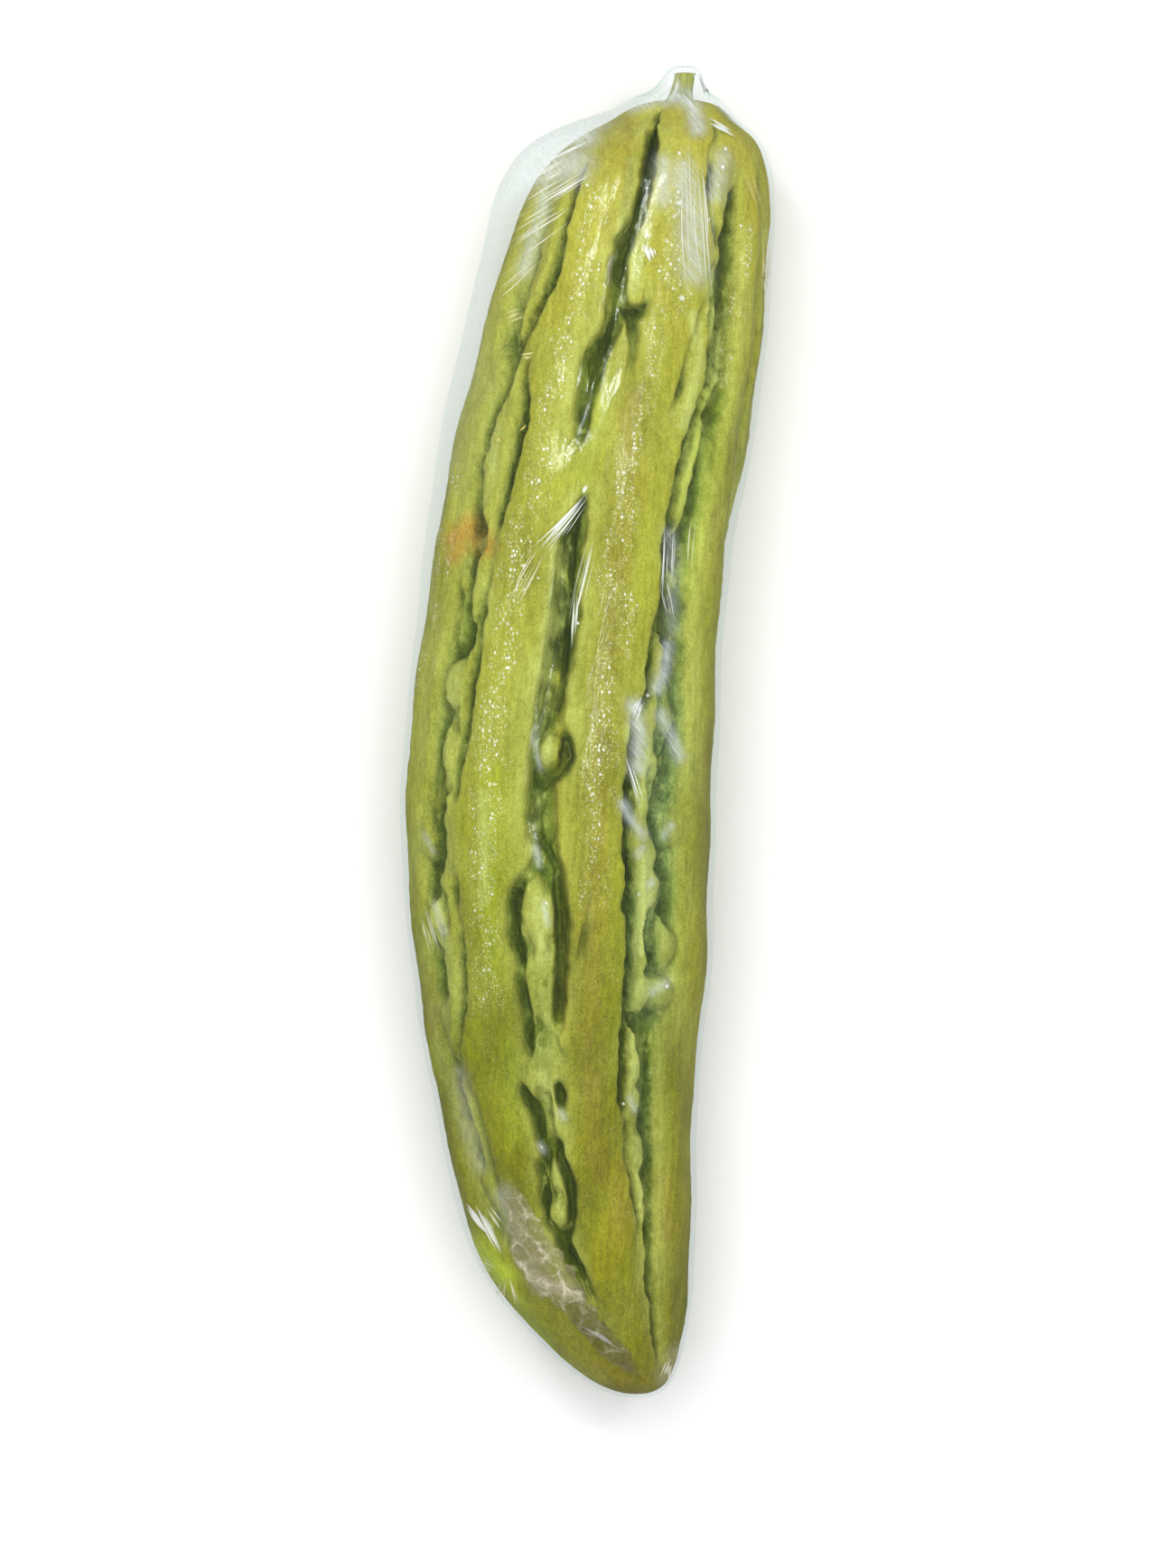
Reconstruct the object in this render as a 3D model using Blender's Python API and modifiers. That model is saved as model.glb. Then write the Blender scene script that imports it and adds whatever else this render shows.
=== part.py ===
"""A bitter gourd wrapped in clear cling film, lying on its side.

Sizes here are millimetres, and become metres as they reach a mesh. X is across the fruit, Y runs
along it with the stalk end at +Y, and Z is up from the surface that it lies on. A place on the skin
is given as a station, the distance along the fruit's middle line from the stalk end, and an angle
round that line, 0 on top and 90 at +X.
"""

import math

import bmesh
import bpy
import numpy as np

MM = 0.001

# The fruit's middle line: station, x, y, z. It bows towards -X, and both ends lift a little.
MIDDLE_LINE = (
    (0, 19.7, 137.5, 36.0),
    (5, 17.9, 132.7, 35.2),
    (16, 14.5, 122.2, 33.8),
    (36, 10.2, 103.1, 31.5),
    (56, 6.8, 83.5, 31.2),
    (76, 2.9, 63.8, 31.8),
    (116, -3.8, 24.5, 32.3),
    (155, -6.5, -14.8, 33.4),
    (194, -6.1, -54.2, 32.0),
    (214, -5.5, -73.8, 30.6),
    (234, -3.7, -93.5, 29.9),
    (254, -1.3, -113.2, 30.2),
    (264, 1.4, -123.0, 30.6),
    (274, 4.9, -132.6, 31.1),
    (287, 10.4, -144.4, 32.0),
)

# The round that the ridges reach: station, radius. It has a full shoulder at the stalk end and a
# blunt point at the other.
CREST_PROFILE = (
    (0, 0),
    (0.6, 4.6),
    (1.9, 9.0),
    (5.2, 13.6),
    (10.3, 20.7),
    (16, 24.6),
    (25, 27.5),
    (36, 29.6),
    (56, 31.6),
    (76, 32.4),
    (116, 32.9),
    (155, 33.95),
    (175, 33.5),
    (194, 32.0),
    (214, 29.1),
    (234, 26.9),
    (254, 24.0),
    (264, 20.5),
    (274, 15.3),
    (280, 11.5),
    (285, 6.6),
    (286.5, 3.4),
    (287, 0),
)
TOWARDS_TIP = np.array((0, -1, 0))
STALK_LEAN = np.array((-0.2, -0.98, -0.06))  # the stalk points the other way

ARC_PER_DEGREE = math.radians(33)  # millimetres round the fruit for one degree, at its usual radius of 33
FULL_RELIEF_RADIUS = 21  # ridges and furrows are at full height where the fruit is thicker than this

# The side that is seen was read off the photograph by eye, in its pixels. One millimetre is
# PIXELS_PER_MM of them at the height VIEW_PLANE, its middle pixel shows the place MIDDLE_SHOWS, and
# the eye is VIEW_DISTANCE above that plane.
PIXELS_PER_MM = 5.086
PICTURE_MIDDLE = np.array((651, 868))
MIDDLE_SHOWS = np.array((-0.2, -11.5))
VIEW_PLANE, VIEW_DISTANCE = 33, 1600
MOST_SIDEWAYS = 0.985  # of the radius: a reading further out is taken to lie here
EDGE_SHARE = 0.8  # of a line's half width: how far its hiding edge is from its middle

# Relief is depth under the crests. A furrow or groove is a line of places, each with its half
# width and its depth.
RELIEF_STRENGTH = 1.3  # all the depths below are multiplied by this
FLOOR_SHARE = 0.25  # of a furrow's half width
SHOULDER_WIDTH, SHOULDER_DEPTH = 6, 1.0
# Picture x, picture y, half width, depth.
SEEN_FURROWS = {
    "top, stalk end": (
        (729, 117, 1.5, 1),
        (726, 135, 2.6, 3),
        (723, 160, 3, 4.2),
        (717, 200, 3.2, 5),
        (708, 236, 3.4, 5),
        (695, 264, 3.6, 5),
        (687, 300, 3.8, 5),
        (683, 332, 4, 5),
        (677, 366, 4, 5),
        (664, 394, 4.4, 5),
        (655, 424, 4.2, 4.8),
        (649, 455, 3.8, 4.4),
        (644, 480, 2.8, 3),
        (640, 497, 2, 1),
    ),
    "top, middle": (
        (648, 550, 2, 1.5),
        (642, 575, 3.2, 4),
        (635, 600, 4.2, 5),
        (631, 640, 4.6, 5),
        (627, 680, 5, 5.2),
        (622, 715, 5, 5.2),
        (616, 750, 5, 5),
        (610, 790, 5, 5),
        (606, 830, 5.4, 5),
        (602, 870, 5, 4.8),
        (602, 910, 5, 4.6),
        (600, 960, 5.4, 4),
        (598, 1010, 5.8, 3.8),
        (600, 1060, 5.6, 3.8),
        (603, 1110, 5, 3.8),
        (603, 1150, 4.4, 2.4),
        (601, 1190, 4, 1.6),
        (602, 1220, 4, 2.4),
        (608, 1260, 4.4, 3.6),
        (617, 1310, 4.4, 4),
        (622, 1350, 4, 4),
        (629, 1390, 3.4, 3.6),
        (641, 1420, 2.6, 2.8),
        (656, 1450, 2, 1.6),
        (670, 1478, 1.6, 0.8),
    ),
    "right": (
        (822, 205, 2, 1.5),
        (813, 225, 3.4, 3.4),
        (806, 250, 4.8, 4.6),
        (802, 280, 5.6, 5),
        (801, 310, 5.8, 5),
        (800, 340, 5.8, 5),
        (799, 370, 5.8, 5),
        (798, 400, 5.8, 4.8),
        (795, 430, 6, 4.4),
        (788, 455, 6.4, 4),
        (781, 485, 6.6, 4),
        (774, 515, 6.8, 4),
        (767, 545, 6.8, 4),
        (758, 575, 6.4, 4.4),
        (750, 605, 6, 4.8),
        (746, 640, 6, 4.8),
        (742, 680, 6.4, 4.8),
        (738, 720, 6.8, 4.8),
        (734, 760, 7.2, 4.8),
        (730, 800, 7.6, 4.8),
        (726, 850, 8, 4.8),
        (723, 910, 8, 4.8),
        (722, 970, 8, 4.8),
        (720, 1030, 8, 4.8),
        (717, 1085, 7.4, 4.8),
        (710, 1140, 6.6, 4.8),
        (706, 1200, 6, 4.8),
        (709, 1260, 5.4, 4.8),
        (713, 1320, 4.8, 4.6),
        (717, 1380, 4.2, 4.2),
        (721, 1430, 3.4, 3.8),
        (726, 1470, 3, 3.2),
        (733, 1502, 2, 1.4),
    ),
    "left": (
        (608, 215, 3, 1),
        (600, 250, 4.4, 1.6),
        (590, 290, 5.2, 2.2),
        (580, 330, 5.8, 2.6),
        (570, 370, 6.4, 3),
        (563, 410, 6.8, 3.2),
        (556, 460, 7.4, 3.2),
        (548, 510, 7.4, 3.2),
        (539, 560, 7.2, 3),
        (530, 620, 7.4, 3),
        (520, 670, 7.6, 3),
        (511, 720, 7.6, 3),
        (503, 770, 7.6, 3),
        (497, 820, 7.6, 3),
        (492, 870, 7.6, 3),
        (487, 920, 7.6, 3.2),
        (486, 970, 7.4, 3),
        (487, 1020, 7.4, 3),
        (489, 1060, 7, 3),
        (492, 1110, 6.4, 3),
        (496, 1160, 5.6, 2.8),
        (509, 1210, 4.8, 2.4),
        (525, 1260, 4.4, 2.6),
        (538, 1310, 3.8, 2.4),
        (548, 1350, 2.8, 1.4),
    ),
}
GROOVES = {
    "under the first lobe": (
        (684, 344, 2.4, 4.8),
        (697, 349, 2.4, 4.4),
        (708, 344, 2.2, 3.2),
        (717, 332, 2, 1.8),
        (719, 308, 1.8, 0.8),
    ),
    "below the first lobe": (
        (697, 352, 2, 3),
        (701, 372, 2, 2.2),
        (699, 396, 1.8, 1.6),
        (694, 424, 1.6, 0.9),
        (690, 446, 1.4, 0.4),
    ),
    "top, steep bank": (
        (679, 366, 1.8, 4.8),
        (670, 390, 2, 5.4),
        (662, 414, 2, 5.4),
        (655, 440, 2, 5),
        (650, 462, 1.8, 4),
    ),
    "right, first branch": (
        (793, 138, 1.6, 1),
        (789, 165, 2, 2.2),
        (787, 190, 2.2, 2.8),
        (785, 215, 2.4, 3),
        (787, 240, 2.4, 3),
        (793, 264, 2.4, 3),
    ),
    "right, beside the leaf lobe": (
        (778, 343, 1.6, 2),
        (771, 368, 1.8, 2.6),
        (763, 392, 1.8, 2.8),
        (757, 415, 1.8, 2.6),
        (751, 438, 1.8, 1.8),
        (746, 458, 1.4, 0.6),
    ),
    "right, bank of the leaf lobe": (
        (790, 300, 2, 4.6),
        (791, 325, 2, 5.2),
        (789, 350, 2.2, 5.4),
        (788, 375, 2.2, 5.6),
        (787, 402, 2.2, 5.6),
        (784, 428, 2.4, 5.4),
        (776, 451, 2.4, 5.2),
        (768, 472, 2.4, 5),
        (761, 492, 2.4, 5),
        (755, 513, 2.4, 5),
        (749, 534, 2.4, 4.8),
        (745, 554, 2.4, 4.8),
    ),
    "right, deep": (
        (744, 566, 2.4, 4.8),
        (740, 588, 3, 5.4),
        (738, 612, 3.2, 5.6),
        (736, 640, 3.2, 5.6),
        (733, 666, 3.2, 5.4),
        (729, 692, 3, 5.4),
        (723, 712, 2.4, 4.8),
        (720, 735, 2.2, 4.8),
        (719, 757, 2.4, 5.2),
        (716, 773, 2.2, 4.4),
        (708, 786, 2.2, 3.2),
    ),
    "right, bank of the ridge": (
        (701, 800, 2.2, 3.4),
        (699, 830, 2.4, 4.8),
        (698, 862, 2.4, 5),
        (695, 888, 2.4, 5),
        (692, 925, 2.4, 5.2),
        (694, 965, 2.6, 5.4),
        (697, 1010, 2.6, 5.4),
        (696, 1055, 2.6, 5.4),
        (692, 1100, 2.4, 5.2),
        (690, 1140, 2.4, 5),
        (689, 1180, 2.2, 4.8),
        (685, 1206, 2.2, 4.6),
        (688, 1227, 1.8, 2.6),
    ),
    "right, pale lobe's left": ((704, 818, 2, 4.6), (705, 832, 2.4, 5.2), (702, 845, 2, 4.6)),
    "right, pale lobe's right": ((728, 815, 2, 4), (733, 826, 2.6, 5.4), (734, 839, 2, 4)),
    "right, between the lobes": (
        (722, 858, 1.8, 3.4),
        (725, 876, 2.2, 5),
        (729, 896, 2.2, 4.8),
        (731, 912, 1.8, 3),
    ),
    "right, hook": (
        (738, 980, 1.8, 2.6),
        (734, 1000, 2, 4.8),
        (725, 1013, 2.2, 5.4),
        (719, 1029, 2.4, 5.6),
        (720, 1048, 2.4, 5.6),
        (724, 1068, 2.4, 5.2),
        (729, 1084, 2, 2.8),
    ),
    "right, far bank": (
        (698, 1124, 2.4, 4.8),
        (706, 1132, 2.2, 4.6),
        (712, 1147, 2.2, 5),
        (713, 1168, 2.4, 5.4),
        (714, 1190, 2.4, 5.4),
        (718, 1212, 2.4, 5.4),
        (719, 1232, 2.2, 5.2),
        (717, 1250, 2.2, 5),
        (719, 1270, 2.2, 5),
        (720, 1290, 2.4, 5.2),
        (717, 1303, 2, 4.8),
        (720, 1320, 2, 4.8),
        (721, 1340, 2.2, 5),
        (717, 1360, 2.2, 4.8),
        (719, 1380, 2.4, 5),
        (720, 1400, 2.8, 5.2),
        (719, 1418, 3, 5.4),
        (720, 1430, 2.4, 4.8),
        (725, 1443, 2.6, 5.2),
        (725, 1456, 2.4, 4.8),
        (725, 1470, 2.6, 5),
        (728, 1485, 2.6, 4.8),
        (732, 1498, 2, 3.4),
        (736, 1508, 1.4, 1),
    ),
    "right, lower bank of the ridge": (
        (694, 1243, 1.6, 3),
        (693, 1262, 1.8, 3.2),
        (696, 1290, 1.8, 3.2),
        (701, 1318, 1.8, 3.2),
        (704, 1338, 1.8, 3.4),
        (709, 1356, 1.6, 2.6),
        (706, 1380, 1.4, 1.2),
    ),
    "ridge, lower": (
        (657, 988, 1.2, 0.6),
        (652, 1020, 1.6, 1.8),
        (646, 1045, 1.6, 2),
        (640, 1070, 1.2, 0.8),
    ),
    "left of the broad ridge, top": (
        (648, 186, 2, 2),
        (640, 205, 2.4, 3.4),
        (633, 232, 2.6, 4.2),
        (625, 256, 2.6, 4.8),
        (621, 280, 2.8, 5),
        (617, 304, 2.8, 5),
        (607, 326, 2.8, 4.8),
        (596, 344, 2.8, 4.6),
        (586, 364, 3, 4.8),
        (576, 384, 3.2, 5),
        (567, 402, 3, 5),
        (561, 418, 2.6, 4.8),
        (556, 436, 2.6, 4.8),
        (546, 452, 2.4, 4.6),
        (538, 468, 2.4, 4.6),
        (532, 488, 2.4, 4.4),
        (529, 508, 2.2, 4),
        (527, 530, 2, 3.2),
        (524, 552, 1.8, 2),
    ),
    "left of the broad ridge": (
        (583, 402, 1.8, 2),
        (580, 425, 2.2, 3.8),
        (583, 450, 2.6, 4.8),
        (582, 470, 2.8, 5),
        (575, 492, 2.8, 5),
        (571, 512, 2.6, 4.8),
        (566, 534, 2.6, 4.8),
        (559, 556, 2.4, 4.4),
        (553, 578, 2.6, 4.6),
        (547, 598, 2.2, 3.8),
        (544, 618, 2, 3.6),
        (542, 640, 2.2, 4.4),
        (536, 664, 2.4, 4.6),
        (531, 690, 2.4, 4.4),
        (529, 714, 2.2, 4),
        (526, 738, 2.2, 4),
        (522, 762, 2.2, 4),
        (519, 790, 2.2, 4.2),
        (514, 815, 2.4, 4.2),
        (509, 840, 2.6, 4.6),
        (506, 860, 2.4, 4.6),
        (504, 880, 2, 3),
    ),
    "left, small lobe's far side": (
        (528, 602, 1.8, 3),
        (519, 611, 2.2, 4),
        (515, 632, 2.4, 4.4),
        (513, 660, 2.4, 4.4),
        (510, 688, 2.6, 4.6),
        (508, 708, 3, 5),
        (503, 722, 2.6, 4),
        (495, 730, 1.8, 1.6),
    ),
    "left, crescent": (
        (472, 778, 1.4, 1),
        (480, 784, 1.8, 2.8),
        (485, 798, 2.4, 4),
        (484, 815, 2, 3.2),
        (480, 828, 1.6, 1.4),
    ),
    "left, dip": ((482, 856, 1.6, 2), (483, 872, 2.2, 3.4), (483, 884, 2.2, 3.6)),
    "left, slot": (
        (461, 896, 1.6, 1.4),
        (470, 897, 2.2, 3.4),
        (480, 899, 2.8, 5),
        (484, 912, 3, 5.2),
        (487, 930, 3, 5.2),
        (484, 948, 2.6, 4.8),
        (478, 962, 2, 3),
    ),
    "left, pit by the ridge": ((503, 976, 1.8, 3), (504, 991, 2.4, 4.6), (503, 1005, 1.6, 2)),
    "left, lower slot": (
        (475, 985, 1.6, 2.8),
        (485, 988, 2.4, 4.6),
        (488, 1004, 2, 4.2),
        (493, 1021, 1.8, 2.4),
    ),
    "left, line": (
        (469, 1044, 1.2, 1),
        (476, 1062, 1.4, 1.8),
        (481, 1080, 1.4, 1.8),
        (484, 1096, 1.2, 0.8),
    ),
    "left, lower bank of the ridge": (
        (508, 1012, 1.6, 1.6),
        (511, 1040, 2, 3),
        (512, 1065, 2.2, 3.6),
        (512, 1092, 2.6, 4.4),
        (511, 1120, 2.4, 4.2),
        (509, 1148, 2.6, 4.4),
        (505, 1168, 2.4, 4),
        (506, 1184, 1.8, 2),
        (513, 1198, 1.8, 1.8),
        (521, 1217, 2, 2.4),
        (530, 1242, 2.2, 3),
        (539, 1268, 2.2, 3.2),
        (545, 1296, 2.2, 3.4),
        (549, 1322, 1.8, 2.4),
    ),
    "middle, behind the bead": (
        (624, 812, 1.8, 3.6),
        (627, 830, 2.2, 5),
        (624, 848, 2.2, 5),
        (612, 860, 2.2, 4.8),
        (601, 870, 3.2, 5.6),
    ),
    "left of the long lobe": (
        (598, 948, 1.8, 3),
        (588, 968, 2, 4.2),
        (579, 985, 2.2, 4.8),
        (574, 1005, 2.4, 5.2),
        (573, 1025, 2.4, 5.2),
        (577, 1045, 2.2, 5),
        (582, 1063, 2, 4.6),
        (582, 1085, 2, 4.2),
        (585, 1105, 2.2, 4.8),
        (589, 1125, 2.2, 5),
        (589, 1145, 2, 4.4),
        (586, 1162, 1.8, 2),
    ),
    "right of the long lobe": (
        (600, 882, 2.2, 5),
        (598, 905, 2, 5),
        (600, 928, 2.2, 5),
        (609, 944, 2.2, 5.2),
        (617, 962, 2.4, 5.4),
        (619, 990, 2.4, 5.6),
        (622, 1020, 2.4, 5.6),
        (622, 1050, 2.4, 5.4),
        (620, 1085, 2.6, 5.4),
        (619, 1115, 2.2, 5),
        (617, 1138, 1.8, 2.6),
    ),
    "below the long lobe": ((614, 1152, 1.4, 1.8), (620, 1164, 1.6, 2.2), (624, 1177, 1.2, 1)),
    "pit over the last lobe": ((617, 1203, 1.6, 2.8), (621, 1213, 2.2, 4.6), (623, 1224, 1.6, 2.6)),
    "left of the last lobe, top": (
        (579, 1203, 1.8, 2.6),
        (587, 1215, 2.2, 4.8),
        (595, 1227, 2.4, 5.4),
        (600, 1242, 2.6, 5.6),
        (602, 1257, 2.2, 4.8),
        (604, 1269, 1.6, 1.8),
    ),
    "left of the last lobe": (
        (599, 1289, 1.8, 3),
        (605, 1308, 2.2, 4.8),
        (608, 1330, 2.2, 4.8),
        (610, 1350, 2, 4.4),
        (619, 1366, 2, 3.6),
    ),
    "right of the last lobe": (
        (609, 1265, 1.6, 2.6),
        (619, 1268, 2, 4.6),
        (623, 1283, 2.2, 5.2),
        (629, 1298, 2.4, 5.2),
        (633, 1318, 2.4, 5.2),
        (634, 1340, 2.4, 5.2),
        (632, 1358, 2.2, 5),
        (628, 1373, 2.2, 4),
        (637, 1393, 2.4, 3.8),
        (646, 1412, 2.2, 3.2),
        (655, 1433, 2, 2.6),
        (662, 1452, 1.8, 2.2),
        (672, 1474, 1.6, 1.4),
        (684, 1490, 1.4, 0.6),
    ),
}
# Picture x, picture y, half length, half width, height over the furrow's floor.
SEEN_LOBES = (
    (706, 300, 9, 2.2, 1.2),
    (556, 490, 16, 3.8, 3),
    (529, 650, 9, 2.4, 3),
    (505, 757, 6.4, 4, 2.4),
    (494, 830, 5, 4, 2),
    (497, 930, 10, 2.4, 2.4),
    (467, 928, 5.4, 2.6, 2.4),
    (481, 1015, 4, 3.4, 2.8),
    (500, 1040, 7, 2.6, 1.8),
    (490, 1125, 9, 3.2, 1.8),
    (607, 830, 5, 3.4, 3.2),
    (593, 945, 3.2, 2.8, 2.8),
    (598, 1012, 9, 3.8, 3),
    (602, 1090, 10, 3, 2.2),
    (727, 723, 2.6, 2.4, 2.8),
    (724, 746, 2.6, 2.2, 2.6),
    (715, 808, 7, 2.8, 3),
    (743, 795, 8, 3.2, 2.6),
    (716, 852, 4.4, 3.2, 3.2),
    (711, 884, 3.6, 3.4, 3.2),
    (741, 915, 5.6, 3.4, 3),
    (711, 945, 4, 4, 3.4),
    (716, 988, 4.8, 5, 4),
    (707, 1040, 7, 2.4, 3),
    (738, 1042, 7, 3.6, 3.8),
    (720, 1099, 4.6, 6, 3.4),
    (703, 1151, 3.2, 2.8, 3.4),
    (702, 1182, 3.6, 2.8, 3.2),
    (702, 1221, 4, 3.2, 3.6),
    (706, 1270, 5.8, 2.8, 3.6),
    (711, 1322, 3.8, 2.4, 3.2),
    (711, 1352, 2.8, 2.2, 2.6),
    (709, 1385, 3.6, 2.4, 2.4),
    (710, 1420, 3.8, 2.4, 2.4),
    (716, 1448, 2.8, 2.2, 2),
    (718, 1480, 3.8, 2, 1.8),
    (618, 1300, 4.4, 2.8, 3),
    (620, 1343, 3.8, 2.8, 3.2),
)
# Round the side, where the photograph shows little, a place is a station and an angle.
SIDE_FURROW = (
    (22, 76, 3, 1.2),
    (32, 79, 5.4, 3.6),
    (50, 80, 6, 4.4),
    (72, 81, 5.4, 4),
    (86, 84, 4, 2),
    (100, 92, 4.6, 2.6),
    (120, 98, 6, 4),
    (160, 100, 6.4, 4.4),
    (200, 100, 6, 4.2),
    (240, 99, 5, 3.6),
    (268, 98, 3, 1.6),
)
SIDE_LOBES = (
    (100, 92, 8, 4, 1.4),
    (122, 98, 10, 4.6, 3),
    (146, 100, 9, 4.6, 3.2),
    (172, 100, 14, 4.8, 3.2),
    (201, 100, 11, 4.6, 3),
    (228, 99, 12, 4.2, 2.8),
)
# The underside follows the same pattern by rule: furrows at these angles, each with a row of lobes.
UNDERSIDE_FURROWS = (152, 206, 260)
UNDERSIDE_SEED = 7
LUMP_HEIGHT = 0.35

# The film stands clear of the skin by FILM_GAP and bridges whatever is narrower than its mesh.
FILM_GAP = 0.45
FILM_WALL = 0.4
VENT_RADIUS = 2.2
# The fruit's weight presses whatever of the film is lower than this onto the surface.
FLAT_SPOT_RISE = 0.3
# Over the shoulder on the -X side the film stands off as a taut sheet: station, distance.
SHEET_ANGLE, SHEET_SPREAD = -84, 66
SHEET_STANDOFF = (
    (0, 0),
    (4, 0.8),
    (8, 2.4),
    (13, 4.8),
    (20, 5.6),
    (32, 4.2),
    (46, 3.2),
    (62, 3.0),
    (80, 2.0),
    (100, 1.2),
    (120, 0.3),
    (135, 0),
)
# Over the stalk it rises to a nub: the crest profile's radius there, rise.
NUB_RISE = (
    (0, 6.1),
    (2.4, 6.0),
    (3.6, 5.0),
    (4.6, 2.9),
    (6, 1.5),
    (9, 0.7),
    (14, 0.2),
    (20, 0),
)

STALK_RADIUS = 2.2
STALK_FOOT_RADIUS = 3.0
STALK_LENGTH = 6
STALK_GAP = 0.35
STALK_SIDES = 14
SEAT_RADIUS = 4.4  # a shallow seat in the top of the fruit round the stalk's foot
SEAT_DEPTH = 0.9

# Meshes
SKIN_SEGMENTS, SKIN_RINGS = 80, 71
FILM_SEGMENTS, FILM_RINGS = 56, 30
FILM_LOOKS = 5  # how many places each way are looked at for the skin under a point of the film
SKIN_CROWDING, FILM_CROWDING = 28, 12  # degrees: how far the columns are drawn towards the top
# How the rings are shared out: share of the rings, millimetres along the profile from either end.
SKIN_END_RINGS = ((0.045, 6.5), (0.1, 20))
FILM_END_RINGS = ((0.14, 9), (0.24, 24))

SKIN_COLOUR = (0.36, 0.38, 0.06, 1)
STALK_COLOUR = (0.33, 0.33, 0.10, 1)
FILM_COLOUR = (0.84, 0.92, 0.95, 1)
FILM_ALPHA = 0.15


def smooth(x, rows):
    """Values at x on a smooth curve through rows whose first number is the key."""
    table = np.asarray(rows, float)
    keys, values = table[:, 0], table[:, 1:]
    slopes = np.gradient(values, keys, axis=0)
    x = np.clip(np.asarray(x, float), keys[0], keys[-1])
    i = np.clip(np.searchsorted(keys, x, side="right") - 1, 0, len(keys) - 2)
    span = (keys[i + 1] - keys[i])[..., None]
    t = (x - keys[i])[..., None] / span
    start, end = values[i], values[i + 1]
    leaving, arriving = slopes[i] * span, slopes[i + 1] * span
    bend = t * t * (3 - 2 * t)
    return start + (end - start) * bend + t * (1 - t) * ((1 - t) * leaving - t * arriving)


def turn_between(angle, centre):
    """The turn in degrees from centre to angle, from -180 to 180."""
    return (angle - centre + 180) % 360 - 180


def drop(share):
    """A bank's fall from 0 at its top, where share is 1, to 1 on the floor."""
    fall = np.clip((1 - share) / (1 - FLOOR_SHARE), 0, 1)
    return fall * fall * (3 - 2 * fall)


def line_depth(station, angle, points, widen=0, depth=None):
    """How deep one furrow or groove is at each place on the skin."""
    points = np.asarray(points, float)
    keys = np.arange(len(points))
    line = smooth(np.linspace(0, keys[-1], 5 * len(points)), np.c_[keys, points])
    line[:, 2] += widen
    centre = line[:, 1].mean()
    across = turn_between(angle, centre) * ARC_PER_DEGREE
    line[:, 1] = (line[:, 1] - centre) * ARC_PER_DEGREE
    reach = line[:, 2].max()
    near = (station > line[:, 0].min() - reach) & (station < line[:, 0].max() + reach)
    near &= (across > line[:, 1].min() - reach) & (across < line[:, 1].max() + reach)
    result = np.zeros(len(station))
    if not near.any():
        return result
    place = np.c_[station[near], across[near]][:, None]
    start, step = line[:-1], np.diff(line, axis=0)
    along = ((place - start[:, :2]) * step[:, :2]).sum(-1) / (step[:, :2] ** 2).sum(-1)
    nearest = start + np.clip(along, 0, 1)[..., None] * step
    share = np.linalg.norm(place - nearest[..., :2], axis=-1) / nearest[..., 2]
    closest = share.argmin(axis=1)[:, None]
    share = np.take_along_axis(share, closest, 1)[:, 0]
    bottom = np.take_along_axis(nearest[..., 3], closest, 1)[:, 0] if depth is None else depth
    result[near] = drop(share) * bottom
    return result


def lobe_height(station, angle, lobe):
    at, turn, half_length, half_width, height = lobe
    across = turn_between(angle, turn) * ARC_PER_DEGREE / half_width
    inside = 1 - ((station - at) / half_length) ** 2 - across**2
    return height * np.clip(inside, 0, None) ** 0.6


def relief_fade(radius):
    """Ridges and furrows die out towards both ends."""
    thick = np.clip(radius / FULL_RELIEF_RADIUS, 0, 1)
    return thick * thick * (3 - 2 * thick)


def seen_places(rows):
    """Rows of picture x and y as rows of station and angle. A row ends in a half width and a depth.

    High on the fruit the picture shows a furrow's floor. On the flank the furrow's near edge hides
    the floor, so there the edge is what the picture shows.
    """
    rows = np.array(rows, float)
    offset = (rows[:, :2] - PICTURE_MIDDLE) / PIXELS_PER_MM * (1, -1)
    stations = np.linspace(0, MIDDLE_LINE[-1][0], 600)
    along = smooth(stations, MIDDLE_LINE)[:, 1]
    height = np.full(len(rows), 2.0 * VIEW_PLANE)
    for _ in range(4):
        nearness = (VIEW_DISTANCE + VIEW_PLANE - height) / VIEW_DISTANCE
        place = MIDDLE_SHOWS + offset * nearness[:, None]
        station = np.interp(-place[:, 1], -along, stations)
        middle = smooth(station, MIDDLE_LINE)
        radius = smooth(station, CREST_PROFILE)[:, 0]
        floor = np.maximum(radius - RELIEF_STRENGTH * relief_fade(radius) * rows[:, -1], 1)
        sideways = place[:, 0] - middle[:, 0]
        at_floor = np.arcsin(np.clip(np.abs(sideways) / floor, 0, MOST_SIDEWAYS))
        at_edge = np.arcsin(np.clip(np.abs(sideways) / radius, 0, MOST_SIDEWAYS))
        past_edge = at_edge + np.radians(EDGE_SHARE * rows[:, -2] / ARC_PER_DEGREE)
        turn = np.copysign(np.minimum(at_floor, past_edge), sideways)
        height = middle[:, 2] + floor * np.cos(turn)
    return np.c_[station, np.degrees(turn), rows[:, 2:]]


def underside_relief():
    """Furrows and lobes for the side that lies down, in the pattern of the side that is seen."""
    draw = np.random.default_rng(UNDERSIDE_SEED)
    furrows, lobes = [], []
    for angle in UNDERSIDE_FURROWS:
        stations = np.linspace(14, 278, 13)
        taper = np.sin(np.pi * (stations - 6) / 280) ** 0.5
        furrows.append(
            [(s, angle + draw.uniform(-3, 3), 4 + 2.4 * k, 4.4 * k) for s, k in zip(stations, taper)]
        )
        station = 18 + draw.uniform(0, 10)
        while station < 262:
            half_length = draw.uniform(5, 15)
            lobe = (station + half_length, angle + draw.uniform(-2, 2), half_length)
            lobes.append((*lobe, draw.uniform(3.4, 4.8), draw.uniform(2.4, 3.6)))
            station += 2 * half_length + draw.uniform(1, 5)
    return furrows, lobes


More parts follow.
